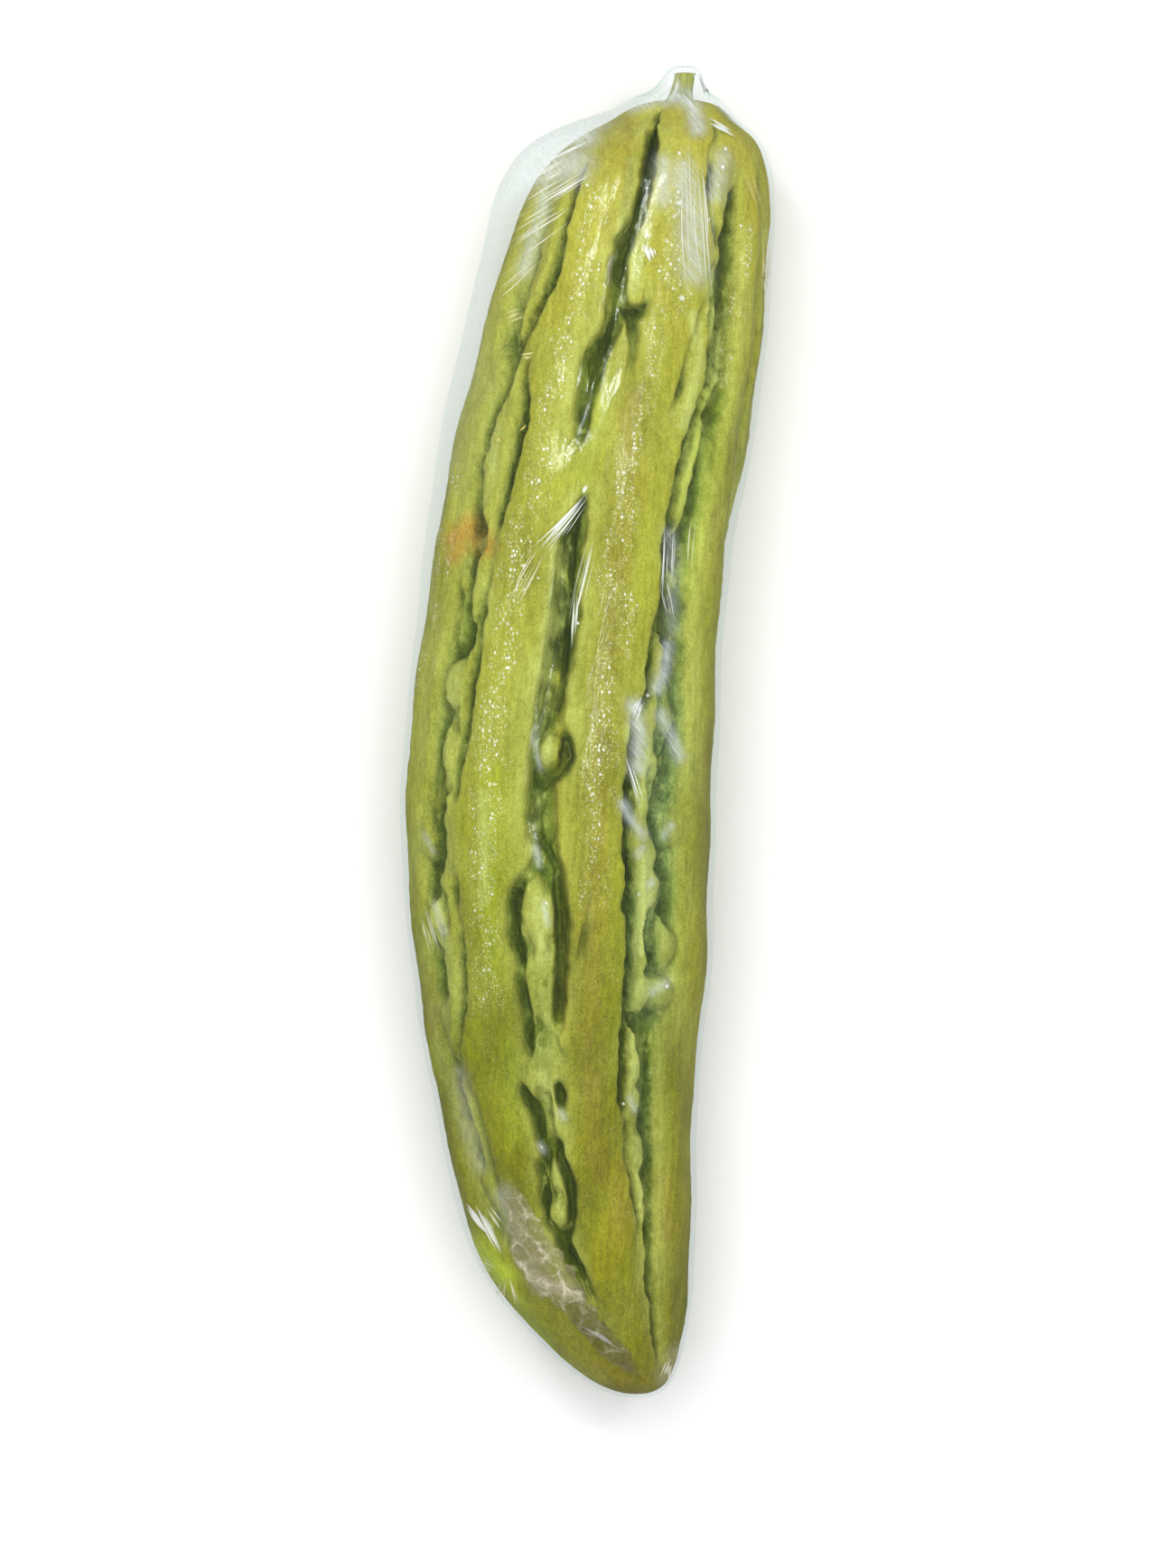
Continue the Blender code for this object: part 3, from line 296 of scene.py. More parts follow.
# Picture x, picture y, half length, half width, height over the furrow's floor.
SEEN_LOBES = (
    (706, 300, 9, 2.2, 1.2), (556, 490, 16, 3.8, 3), (529, 650, 9, 2.4, 3), (505, 757, 6.4, 4, 2.4),
    (494, 830, 5, 4, 2), (497, 930, 10, 2.4, 2.4), (467, 928, 5.4, 2.6, 2.4),
    (481, 1015, 4, 3.4, 2.8), (500, 1040, 7, 2.6, 1.8), (490, 1125, 9, 3.2, 1.8),
    (607, 830, 5, 3.4, 3.2), (593, 945, 3.2, 2.8, 2.8), (598, 1012, 9, 3.8, 3),
    (602, 1090, 10, 3, 2.2), (727, 723, 2.6, 2.4, 2.8), (724, 746, 2.6, 2.2, 2.6),
    (715, 808, 7, 2.8, 3), (743, 795, 8, 3.2, 2.6), (716, 852, 4.4, 3.2, 3.2),
    (711, 884, 3.6, 3.4, 3.2), (741, 915, 5.6, 3.4, 3), (711, 945, 4, 4, 3.4),
    (716, 988, 4.8, 5, 4), (707, 1040, 7, 2.4, 3), (738, 1042, 7, 3.6, 3.8),
    (720, 1099, 4.6, 6, 3.4), (703, 1151, 3.2, 2.8, 3.4), (702, 1182, 3.6, 2.8, 3.2),
    (702, 1221, 4, 3.2, 3.6), (706, 1270, 5.8, 2.8, 3.6), (711, 1322, 3.8, 2.4, 3.2),
    (711, 1352, 2.8, 2.2, 2.6), (709, 1385, 3.6, 2.4, 2.4), (710, 1420, 3.8, 2.4, 2.4),
    (716, 1448, 2.8, 2.2, 2), (718, 1480, 3.8, 2, 1.8), (618, 1300, 4.4, 2.8, 3),
    (620, 1343, 3.8, 2.8, 3.2),
)
# Round the side, where the photograph shows little, a place is a station and an angle.
SIDE_FURROW = (
    (22, 76, 3, 1.2), (32, 79, 5.4, 3.6), (50, 80, 6, 4.4), (72, 81, 5.4, 4), (86, 84, 4, 2),
    (100, 92, 4.6, 2.6), (120, 98, 6, 4), (160, 100, 6.4, 4.4), (200, 100, 6, 4.2),
    (240, 99, 5, 3.6), (268, 98, 3, 1.6),
)
SIDE_LOBES = (
    (100, 92, 8, 4, 1.4), (122, 98, 10, 4.6, 3), (146, 100, 9, 4.6, 3.2), (172, 100, 14, 4.8, 3.2),
    (201, 100, 11, 4.6, 3), (228, 99, 12, 4.2, 2.8),
)
# The underside follows the same pattern by rule: furrows at these angles, each with a row of lobes.
# The lobes' sizes and the gaps between them are drawn from a least to a most.
UNDERSIDE_FURROWS = (152, 206, 260)
UNDERSIDE_FROM, UNDERSIDE_TO, UNDERSIDE_PLACES = 14, 278, 13
UNDERSIDE_WIDTH, UNDERSIDE_SWELL, UNDERSIDE_DEPTH = 4, 2.4, 4.4
UNDERSIDE_SEED = 7
LOBES_FROM, LOBES_TO = 18, 262
HALF_LENGTHS, HALF_WIDTHS, LOBE_HEIGHTS, GAPS = (5, 15), (3.4, 4.8), (2.4, 3.6), (1, 5)
LUMP_HEIGHT, LUMP_WAVES = 0.35, (6.1, 13.7)
print(len(SEEN_FURROWS), "furrows,", len(GROOVES), "grooves and", len(SEEN_LOBES), "lobes are seen")

# %% [markdown]
# ## From the tables to a depth
# Relief is measured as depth under the crests. The crests themselves are a plain round, so a furrow
# can be any line on it, and a lobe is a dome that rises out of a furrow's floor. The functions here
# turn the tables into a depth for any array of places.

# %% Curves through tables
LINE_STEPS = 5  # straight steps for each place of a furrow's line
LOBE_FULLNESS = 0.6  # under 1, so that a lobe is fuller than a paraboloid
PROFILE_STEP = 0.2  # how far either side of a place the profile's slope is measured
MIDDLE_STEPS = 600  # places on the middle line that a picture place is looked up among
HEIGHT_ROUNDS = 4


def smooth(x, rows):
    """Values at x on a smooth curve through rows whose first number is the key."""
    table = np.asarray(rows, float)
    keys, values = table[:, 0], table[:, 1:]
    slopes = np.gradient(values, keys, axis=0)
    x = np.clip(np.asarray(x, float), keys[0], keys[-1])
    i = np.clip(np.searchsorted(keys, x, side="right") - 1, 0, len(keys) - 2)
    span = (keys[i + 1] - keys[i])[..., None]
    t = (x - keys[i])[..., None] / span
    start, end = values[i], values[i + 1]
    leaving, arriving = slopes[i] * span, slopes[i + 1] * span
    bend = t * t * (3 - 2 * t)
    return start + (end - start) * bend + t * (1 - t) * ((1 - t) * leaving - t * arriving)


def turn_between(angle, centre):
    """The turn in degrees from centre to angle, from -180 to 180."""
    return (angle - centre + 180) % 360 - 180


def drop(share):
    """A bank's fall from 0 at its top, where share is 1, to 1 on the floor."""
    fall = np.clip((1 - share) / (1 - FLOOR_SHARE), 0, 1)
    return fall * fall * (3 - 2 * fall)


def line_depth(station, angle, points, widen=0, depth=None):
    """How deep one furrow or groove is at each place on the skin."""
    points = np.asarray(points, float)
    keys = np.arange(len(points))
    line = smooth(np.linspace(0, keys[-1], LINE_STEPS * len(points)), np.c_[keys, points])
    line[:, 2] += widen
    centre = line[:, 1].mean()
    across = turn_between(angle, centre) * ARC_PER_DEGREE
    line[:, 1] = (line[:, 1] - centre) * ARC_PER_DEGREE
    reach = line[:, 2].max()
    near = (station > line[:, 0].min() - reach) & (station < line[:, 0].max() + reach)
    near &= (across > line[:, 1].min() - reach) & (across < line[:, 1].max() + reach)
    result = np.zeros(len(station))
    if not near.any():
        return result
    place = np.c_[station[near], across[near]][:, None]
    start, step = line[:-1], np.diff(line, axis=0)
    along = ((place - start[:, :2]) * step[:, :2]).sum(-1) / (step[:, :2] ** 2).sum(-1)
    nearest = start + np.clip(along, 0, 1)[..., None] * step
    share = np.linalg.norm(place - nearest[..., :2], axis=-1) / nearest[..., 2]
    closest = share.argmin(axis=1)[:, None]
    share = np.take_along_axis(share, closest, 1)[:, 0]
    bottom = np.take_along_axis(nearest[..., 3], closest, 1)[:, 0] if depth is None else depth
    result[near] = drop(share) * bottom
    return result


def lobe_height(station, angle, lobe):
    """How far one lobe stands over the furrow's floor at each place on the skin."""
    at, turn, half_length, half_width, height = lobe
    across = turn_between(angle, turn) * ARC_PER_DEGREE / half_width
    inside = 1 - ((station - at) / half_length) ** 2 - across**2
    return height * np.clip(inside, 0, None) ** LOBE_FULLNESS


def relief_fade(radius):
    """Ridges and furrows die out towards both ends."""
    thick = np.clip(radius / FULL_RELIEF_RADIUS, 0, 1)
    return thick * thick * (3 - 2 * thick)


def seen_places(rows):
    """Rows of picture x and y as rows of station and angle. A row ends in a half width and a depth.

    High on the fruit the picture shows a furrow's floor. On the flank the furrow's near edge hides
    the floor, so there the edge is what the picture shows.
    """
    rows = np.array(rows, float)
    offset = (rows[:, :2] - PICTURE_MIDDLE) / PIXELS_PER_MM * (1, -1)
    stations = np.linspace(0, FRUIT_LENGTH, MIDDLE_STEPS)
    along = smooth(stations, MIDDLE_LINE)[:, 1]
    height = np.full(len(rows), 2.0 * VIEW_PLANE)
    for _ in range(HEIGHT_ROUNDS):  # the place follows from its height, and that from the place
        nearness = (VIEW_DISTANCE + VIEW_PLANE - height) / VIEW_DISTANCE
        place = MIDDLE_SHOWS + offset * nearness[:, None]
        station = np.interp(-place[:, 1], -along, stations)
        middle = smooth(station, MIDDLE_LINE)
        radius = smooth(station, CREST_PROFILE)[:, 0]
        floor = np.maximum(radius - RELIEF_STRENGTH * relief_fade(radius) * rows[:, -1], 1)
        sideways = place[:, 0] - middle[:, 0]
        at_floor = np.arcsin(np.clip(np.abs(sideways) / floor, 0, MOST_SIDEWAYS))
        at_edge = np.arcsin(np.clip(np.abs(sideways) / radius, 0, MOST_SIDEWAYS))
        past_edge = at_edge + np.radians(EDGE_SHARE * rows[:, -2] / ARC_PER_DEGREE)
        turn = np.copysign(np.minimum(at_floor, past_edge), sideways)
        height = middle[:, 2] + floor * np.cos(turn)
    return np.c_[station, np.degrees(turn), rows[:, 2:]]


def underside_relief():
    """Furrows and lobes for the side that lies down, in the pattern of the side that is seen."""
    draw = np.random.default_rng(UNDERSIDE_SEED)
    furrows, lobes = [], []
    for angle in UNDERSIDE_FURROWS:
        stations = np.linspace(UNDERSIDE_FROM, UNDERSIDE_TO, UNDERSIDE_PLACES)
        fullness = np.sin(np.pi * (stations - 6) / 280) ** 0.5  # less towards both ends
        points = []
        for station, full in zip(stations, fullness):
            half_width = UNDERSIDE_WIDTH + UNDERSIDE_SWELL * full
            points.append((station, angle + draw.uniform(-3, 3), half_width, UNDERSIDE_DEPTH * full))
        furrows.append(points)
        station = LOBES_FROM + draw.uniform(0, 10)
        while station < LOBES_TO:
            half_length = draw.uniform(*HALF_LENGTHS)
            lobe = (station + half_length, angle + draw.uniform(-2, 2), half_length)
            lobes.append((*lobe, draw.uniform(*HALF_WIDTHS), draw.uniform(*LOBE_HEIGHTS)))
            station += 2 * half_length + draw.uniform(*GAPS)
    return furrows, lobes


def relief_depth(station, angle, radius):
    """How far the skin lies under the crests, in millimetres, for arrays of places."""
    underside_furrows, underside_lobes = underside_relief()
    furrows = [*map(seen_places, SEEN_FURROWS.values()), SIDE_FURROW, *underside_furrows]
    broad, shoulders = np.zeros(len(station)), np.zeros(len(station))
    for points in furrows:
        broad = np.maximum(broad, line_depth(station, angle, points))
        fall = line_depth(station, angle, points, SHOULDER_WIDTH, SHOULDER_DEPTH)
        shoulders = np.maximum(shoulders, fall)
    for lobe in (*seen_places(SEEN_LOBES), *SIDE_LOBES, *underside_lobes):
        broad -= lobe_height(station, angle, lobe)
    depth = np.maximum(broad, shoulders)
    for points in map(seen_places, GROOVES.values()):
        depth = np.maximum(depth, line_depth(station, angle, points))
    turn = np.radians(angle)
    # Two waves that never fall into step, so the lumps don't repeat.
    short, long = (station / wave for wave in LUMP_WAVES)
    lumps = np.sin(short + 2 * np.sin(3 * turn)) * np.sin(long + 5 * turn)
    depth += LUMP_HEIGHT * (1 + lumps)
    return RELIEF_STRENGTH * relief_fade(radius) * depth


def profile_length():
    """The crest profile as rows of distance along it, station, radius."""
    profile = np.asarray(CREST_PROFILE, float)
    lengths = np.r_[0, np.cumsum(np.linalg.norm(np.diff(profile, axis=0), axis=1))]
    return np.c_[lengths, profile]


def ring_places(share, end_rings):
    """Station, radius and outward slope of the crest profile at each share of the rings."""
    profile = profile_length()
    total = profile[-1, 0]
    from_stalk = [(part, length) for part, length in end_rings]
    from_tip = [(1 - part, total - length) for part, length in reversed(end_rings)]
    along = smooth(share, [(0, 0), *from_stalk, *from_tip, (1, total)])[:, 0]
    station, radius = smooth(along, profile).T
    ahead = smooth(np.clip(along + PROFILE_STEP, 0, total), profile)
    behind = smooth(np.clip(along - PROFILE_STEP, 0, total), profile)
    slope = (ahead - behind) / np.linalg.norm(ahead - behind, axis=1)[:, None]
    return station, radius, slope


def on_skin(station, angle, radius):
    """Points round the middle line, in sections square to Y, and the outward direction at each."""
    turn = np.radians(angle)
    outward = np.c_[np.sin(turn), np.zeros(len(turn)), np.cos(turn)]
    return smooth(station, MIDDLE_LINE) + radius[:, None] * outward, outward


deepest = RELIEF_STRENGTH * max(row[3] for line in SEEN_FURROWS.values() for row in line)
print(f"the deepest furrow's floor lies {deepest:.1f} mm under the crests")

# %% [markdown]
# ## A grid to work on
# The skin and the film are both closed rounds, and both are made from a UV sphere whose pole is at
# the stalk end. Its vertices lie on rings and columns, so a depth can be worked out once for the
# whole grid and then softened or widened on it like a picture. The columns are drawn together on top,
# where the camera looks.

# %% The grid
COLUMNS, RINGS = ((240, 400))
CROWDING = 28  # degrees: how far the columns are drawn towards the top
END_RINGS = ((0.045, 6.5), (0.1, 20))  # share of the rings, millimetres along from either end

share = np.repeat(np.arange(RINGS + 1) / RINGS, COLUMNS)
turn = np.tile(math.tau * np.arange(COLUMNS) / COLUMNS, RINGS + 1)
angle = np.degrees(turn) - CROWDING * np.sin(turn)
station, radius, slope = ring_places(share, END_RINGS)
print(f"a grid of {RINGS} by {COLUMNS}")

# %% [markdown]
# Straight from the tables, every furrow would have edges as smooth as a ruled curve. The real ones
# are toothed, because small beads of flesh crowd over the edge. So each place looks up the tables a
# little to one side of itself, by a noise of the beads' size. Narrow dark clefts and small pits,
# which are finer than the CAD mesh, are added here too.


# %% Toothed edges and fine clefts
def noise_at(points, size):
    """Smooth noise in lumps of about this many millimetres."""
    return np.array([noise.noise(Vector(point)) for point in points / size])


TOOTH_SIZE, TOOTH_REACH = 2.3, 0.75
NOISE_APART = 50  # noises taken this far apart don't follow each other
LUMP_SIZE, LUMP_STRETCH, LUMP_RELIEF = 5, 0.7, 4.2  # small lumps on the floors of the furrows
LUMPS_APART = 20
LUMPS_FROM, LUMPS_OVER = 1.5, 2.5  # depth where the lumps start, and how much deeper they are full
PIT_END_DEPTH = 1.5
FINE_CLEFTS = {
    "top, stalk end": (
        (729, 122, 0.8, 2), (726, 142, 1.1, 5), (721, 170, 1.2, 6), (715, 202, 1.3, 6.4),
        (706, 236, 1.3, 6.4), (696, 264, 1.3, 6.4), (689, 292, 1.3, 6.4), (686, 318, 1.3, 6.4),
        (682, 346, 1.5, 6.6), (672, 376, 1.4, 6.6), (660, 404, 1.4, 6.4), (652, 436, 1.3, 6),
        (645, 466, 1, 4.6), (641, 488, 0.7, 2),
    ),
    "top, middle": (
        (645, 556, 0.9, 3.6), (639, 575, 1.2, 6), (636, 600, 1.4, 6.4), (633, 640, 1.4, 6.6),
        (631, 680, 1.4, 6.6), (628, 715, 1.4, 6.6), (624, 750, 1.5, 6.6), (618, 785, 1.4, 6.2),
        (611, 806, 1.1, 5.4),
    ),
    "under the first lobe": (
        (686, 342, 1.2, 6), (697, 348, 1.2, 5.6), (708, 345, 1.1, 4.6), (716, 334, 0.9, 3),
    ),
}
# Small pits between the lobes: picture x and y, length in pixels, half width and depth in millimetres.
PITS = (
    (729, 829, 10, 1.1, 5.0), (694, 868, 12, 1.1, 4.5), (709, 850, 8, 1.0, 3.5),
    (714, 878, 9, 1.0, 3.5), (722, 735, 16, 1.1, 5.0), (692, 1000, 22, 0.9, 4.5),
    (727, 1030, 20, 1.0, 4.5), (704, 1128, 12, 1.0, 3.5), (716, 1230, 14, 0.9, 4.0),
    (481, 811, 11, 1.2, 4.0), (502, 713, 12, 1.4, 4.5), (474, 905, 12, 1.5, 4.5),
    (490, 992, 11, 1.2, 4.0), (508, 655, 30, 1.2, 4.0), (616, 778, 9, 1.2, 4.5),
    (599, 866, 10, 1.3, 4.5), (617, 941, 16, 1.0, 4.5), (578, 1019, 14, 1.1, 4.0),
    (608, 905, 8, 1.0, 3.5), (604, 1090, 10, 1.0, 3.5), (612, 1165, 10, 1.0, 3.5),
)

bead_places, _ = on_skin(station, angle, radius)
sideways = TOOTH_REACH * noise_at(bead_places + NOISE_APART, TOOTH_SIZE)
lengthways = TOOTH_REACH * noise_at(bead_places - NOISE_APART, TOOTH_SIZE)
looked_up = station + lengthways, angle + sideways / ARC_PER_DEGREE
depth = relief_depth(*looked_up, radius)
pits = []
for x, y, size, wide, deep in PITS:
    first, last = (x, y - size / 2, wide, PIT_END_DEPTH), (x, y + size / 2, wide, PIT_END_DEPTH)
    pits.append((first, (x, y, wide, deep), last))
for points in map(seen_places, (*FINE_CLEFTS.values(), *pits)):
    cleft = RELIEF_STRENGTH * relief_fade(radius) * line_depth(*looked_up, points)
    depth = np.maximum(depth, cleft)
lumps = noise_at(bead_places * (1, LUMP_STRETCH, 1) + LUMPS_APART, LUMP_SIZE)
in_furrow = np.clip((depth - LUMPS_FROM) / LUMPS_OVER, 0, 1)
depth = np.maximum(depth - LUMP_RELIEF * lumps * in_furrow, 0)
depth = depth.reshape(RINGS + 1, COLUMNS)
print(f"the furrows are {depth.max():.1f} mm at their deepest")


# %% [markdown]
# Softening a grid takes each place's mean with its neighbours, as blurring a picture does. A place
# that is deeper than the mean round it lies in a hollow, and one that is less deep is on a lobe.
# Further on, the skin gets painted shade in the hollows and painted highlights on the lobes from that.


# %% Softening and filling a grid
def shifted(grid, along, across):
    """The grid as seen from so many rings and columns away, for each step up to them."""
    wide = np.pad(grid, ((along, along), (0, 0)), mode="edge")
    for ring in range(2 * along + 1):
        for column in range(-across, across + 1):
            yield np.roll(wide[ring : ring + len(grid)], column, axis=1)


def softened(grid, along, across):
    """The mean of the grid round each place."""
    return sum(shifted(grid, along, across)) / ((2 * along + 1) * (2 * across + 1))


def shallowest(grid, along, across):
    """The least of the grid round each place."""
    return np.minimum.reduce(list(shifted(grid, along, across)))


MEAN_REACH = 6, 9  # rings and columns either way of the mean that a hollow lies under
depth = (softened(depth, 1, 1) + depth) / 2
hollow = depth - softened(depth, *MEAN_REACH)
steep = np.abs(depth - np.roll(depth, 2, axis=1)) + np.abs(depth - np.roll(depth, -2, axis=1))
print(f"hollows lie up to {hollow.max():.1f} mm under the mean round them")

# %% [markdown]
# Each vertex of the sphere keeps its number in the grid as an attribute. So whatever is worked out
# for the grid, a colour or a depth, can be handed to the right vertex later, in any order.


# %% Placing a sphere's vertices by the grid
def place_vertices(mesh, points):
    """Moves each vertex to its point, which is in millimetres."""
    for vertex, point in zip(mesh.verts, points):
        vertex.co = [float(value) * MM for value in point]


def round_mesh(points):
    """A UV sphere with its pole at the stalk end, placed by the grid, with each grid number kept."""
    mesh = bmesh.new()
    bmesh.ops.create_uvsphere(mesh, u_segments=COLUMNS, v_segments=RINGS, radius=1)
    places = np.array([vertex.co for vertex in mesh.verts])
    ring = np.rint(np.arccos(np.clip(places[:, 2], -1, 1)) / math.pi * RINGS).astype(int)
    column = np.rint(np.arctan2(places[:, 1], places[:, 0]) / math.tau * COLUMNS).astype(int)
    numbers = ring * COLUMNS + column % COLUMNS
    layer = mesh.verts.layers.int.new("grid")
    for vertex, number in zip(mesh.verts, numbers):
        vertex[layer] = int(number)
    place_vertices(mesh, points[numbers])
    return mesh


def new_piece(name, mesh):
    """Turns a bmesh into a smooth-shaded piece of the object, held by the root body."""
    data = bpy.data.meshes.new(name)
    mesh.to_mesh(data)
    mesh.free()
    data.shade_smooth()
    piece = bpy.data.objects.new(name, data)
    bpy.context.scene.collection.objects.link(piece)
    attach(piece, "root")
    print(f"{name}: {len(data.vertices)} vertices, {len(data.polygons)} faces")
    return piece


def paint(piece, **layers):
    """Stores the grid's values at each vertex under each name, for a material to read."""
    numbers = np.empty(len(piece.data.vertices), np.int32)
    piece.data.attributes["grid"].data.foreach_get("value", numbers)
    for name, values in layers.items():
        layer = piece.data.attributes.new(name, "FLOAT", "POINT")
        layer.data.foreach_set("value", values[numbers].astype(np.float32))
    print(f"{piece.name} is painted with {', '.join(layers)}")


# %% [markdown]
# ## Finding a place in the picture
# Stains, glints and creases belong to places that the photograph shows, so they are listed in its
# pixels. These helpers say where in the picture each point of a mesh is seen, and how near it lies to
# a line drawn there.


# %% Picture places
def picture_place(points):
    """Picture x and y, in pixels, of each point in millimetres."""
    nearness = VIEW_DISTANCE / (VIEW_DISTANCE + VIEW_PLANE - points[:, 2])
    offset = (points[:, :2] - MIDDLE_SHOWS) * nearness[:, None] * PIXELS_PER_MM
    return PICTURE_MIDDLE + offset * (1, -1)


def near_line(places, line, reach):
    """From 1 on a line of picture places to 0 well away from it, as a bell curve reach pixels wide."""
    line = np.asarray(line, float)
    if len(line) == 1:
        away = np.linalg.norm(places - line[0], axis=1)
        return np.exp(-((away / reach) ** 2))
    least = np.full(len(places), np.inf)
    for start, end in zip(line[:-1], line[1:]):
        step = end - start
        along = np.clip(((places - start) @ step) / (step @ step), 0, 1)
        away = places - start - along[:, None] * step
        least = np.minimum(least, (away**2).sum(axis=1))
    return np.exp(-least / reach**2)


def painted(places, upper, lines):
    """The strongest of several soft lines: reach, strength and picture places of each."""
    most = np.zeros(len(places))
    for reach, strength, line in lines:
        most = np.maximum(most, strength * near_line(places, line, reach))
    return most * upper


print("the picture's middle is at pixel", PICTURE_MIDDLE)

# %% [markdown]
# ## Skin
# The real skin is waxy, smooth on the broad ridges and puckered on the banks of the furrows, where
# small beads crowd together. The broad form comes from the grid. The puckering is noise that only
# shows on steep banks, and the ridges get faint lengthwise strands.

# %% Skin mesh
BEAD_SIZE, BEAD_HEIGHT = 1.9, 0.42
STRAND_WIDTH, STRAND_LENGTH, STRAND_HEIGHT = 1.5, 17, 0.1
SEAT_RADIUS, SEAT_DEPTH, SEAT_END = 4.4, 0.9, 20  # the last is a station that bounds the seat
SKIN_REST = 0.85  # the film lies between the skin's flat spot and the surface
BANK_STEEPNESS = 1.6  # what counts as fully steep: the depth gained two columns away, both ways

flat_depth = depth.ravel()
base, outward = on_skin(station, angle, radius - flat_depth)
bank = np.clip(steep.ravel() / BANK_STEEPNESS, 0, 1)
fade = relief_fade(radius)
beads = noise_at(base, BEAD_SIZE) * bank * fade
strand_places = np.c_[angle * ARC_PER_DEGREE / STRAND_WIDTH, station / STRAND_LENGTH, radius * 0]
strands = noise_at(strand_places, 1) * (1 - bank) * fade
skin_points = base + (BEAD_HEIGHT * beads + STRAND_HEIGHT * strands)[:, None] * outward
seat = (station < SEAT_END) & (radius < SEAT_RADIUS)
skin_points[seat] += SEAT_DEPTH * TOWARDS_TIP
skin_points[:, 2] = np.maximum(skin_points[:, 2], SKIN_REST)
fruit = new_piece("gourd_skin", round_mesh(skin_points))
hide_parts("gourd")
print(f"beads stand up to {BEAD_HEIGHT * beads.max():.2f} mm over the banks")

# %% [markdown]
# The skin isn't one green. Painted glints drift along the crests, a stain sits on the left, the banks
# and lobe tops are painted pale as highlights, the slits are painted dark as shade, and some ridges are
# brown, yellow or lime, with painted shade on one ridge and a painted highlight along a ridge's edge.
# An image could hold all that, but it would fit one mesh only. Here each tint is a list of soft lines
# in the picture, painted on the vertices as a number from 0 to 1, and the material turns the number
# into a colour.

# %% What the skin's colour follows
# Each row is a reach in picture pixels, a strength and a line of picture places.
# Painted glints: lines along the crests where bright specks of light are painted into the skin's
# colour.
PAINTED_SKIN_GLINTS = (
    (15, 1, ((655, 230), (650, 300), (625, 390), (615, 440), (605, 500), (590, 560), (575, 610))),
    (15, 1, ((575, 610), (565, 650), (560, 700), (555, 750), (545, 800), (540, 860), (535, 900))),
    (13, 0.8, ((535, 900), (533, 960), (535, 1000), (537, 1060), (540, 1110))),
    (12, 0.8, ((745, 200), (745, 300), (755, 330), (722, 360), (722, 420), (715, 450), (690, 520))),
    (14, 0.9, ((690, 520), (690, 560), (675, 640), (700, 680), (672, 750), (665, 820), (662, 900))),
    (12, 0.5, ((662, 900), (660, 940), (655, 1000))),
    (12, 0.6, ((800, 420), (815, 340), (826, 260))),
    (14, 0.5, ((500, 520), (485, 640), (466, 760))),
)
STAIN = ((13, 1, ((504, 596), (522, 582), (536, 604))), (8, 0.8, ((500, 618), (512, 606))))
BROWN_AND_PAINTED_SHADE = (
    # The first line is painted shade that darkens one whole ridge; the others are brown patches.
    (17, 0.6, ((704, 440), (692, 540), (674, 700), (664, 860), (656, 1000), (650, 1150), (664, 1300))),
    (7, 0.7, ((696, 140), (694, 230))),
    (12, 0.5, ((690, 1290), (684, 1370))),
    (10, 0.4, ((735, 1300), (742, 1380))),
    (9, 0.5, ((676, 236), (672, 262))),
    (8, 0.4, ((795, 560), (790, 640))),
    (6, 0.5, ((786, 800), (780, 900), (784, 1000))),
    (12, 0.35, ((476, 1080), (480, 1140))),
    (30, 0.5, ((655, 1528), (700, 1542))),
)
# Painted highlights: pale patches painted where the banks and lobe tops catch the light.
PAINTED_HIGHLIGHTS = (
    (13, 0.8, ((619, 610), (613, 680), (606, 750), (598, 810))),
    (9, 0.7, ((596, 880), (588, 940))),
    (9, 0.8, ((700, 180), (694, 230), (688, 262))),
    (12, 0.6, ((706, 270), (703, 318))),
    (9, 0.9, ((768, 350), (775, 390), (768, 430), (757, 470))),
    (9, 0.8, ((787, 300), (792, 380), (786, 440))),
    (14, 0.9, ((700, 812), (712, 850), (716, 890))),
    (12, 0.9, ((712, 950), (716, 1000), (708, 1050))),
    (15, 1, ((716, 1096), (736, 1080))),
    (10, 0.7, ((702, 1150), (704, 1180), (700, 1222))),
    (9, 0.7, ((706, 1262), (708, 1320), (710, 1350))),
    (10, 0.7, ((607, 828), (600, 850))),
    (12, 0.8, ((598, 1000), (602, 1060))),
    (10, 0.6, ((600, 1190), (612, 1240))),
    (9, 0.5, ((616, 1290), (620, 1345))),
    (12, 0.7, ((486, 1000), (484, 1030), (492, 1050))),
    (14, 0.6, ((505, 745), (500, 790))),
    (9, 0.6, ((548, 470), (545, 520))),
    (8, 0.8, ((535, 880), (536, 1000))),
)
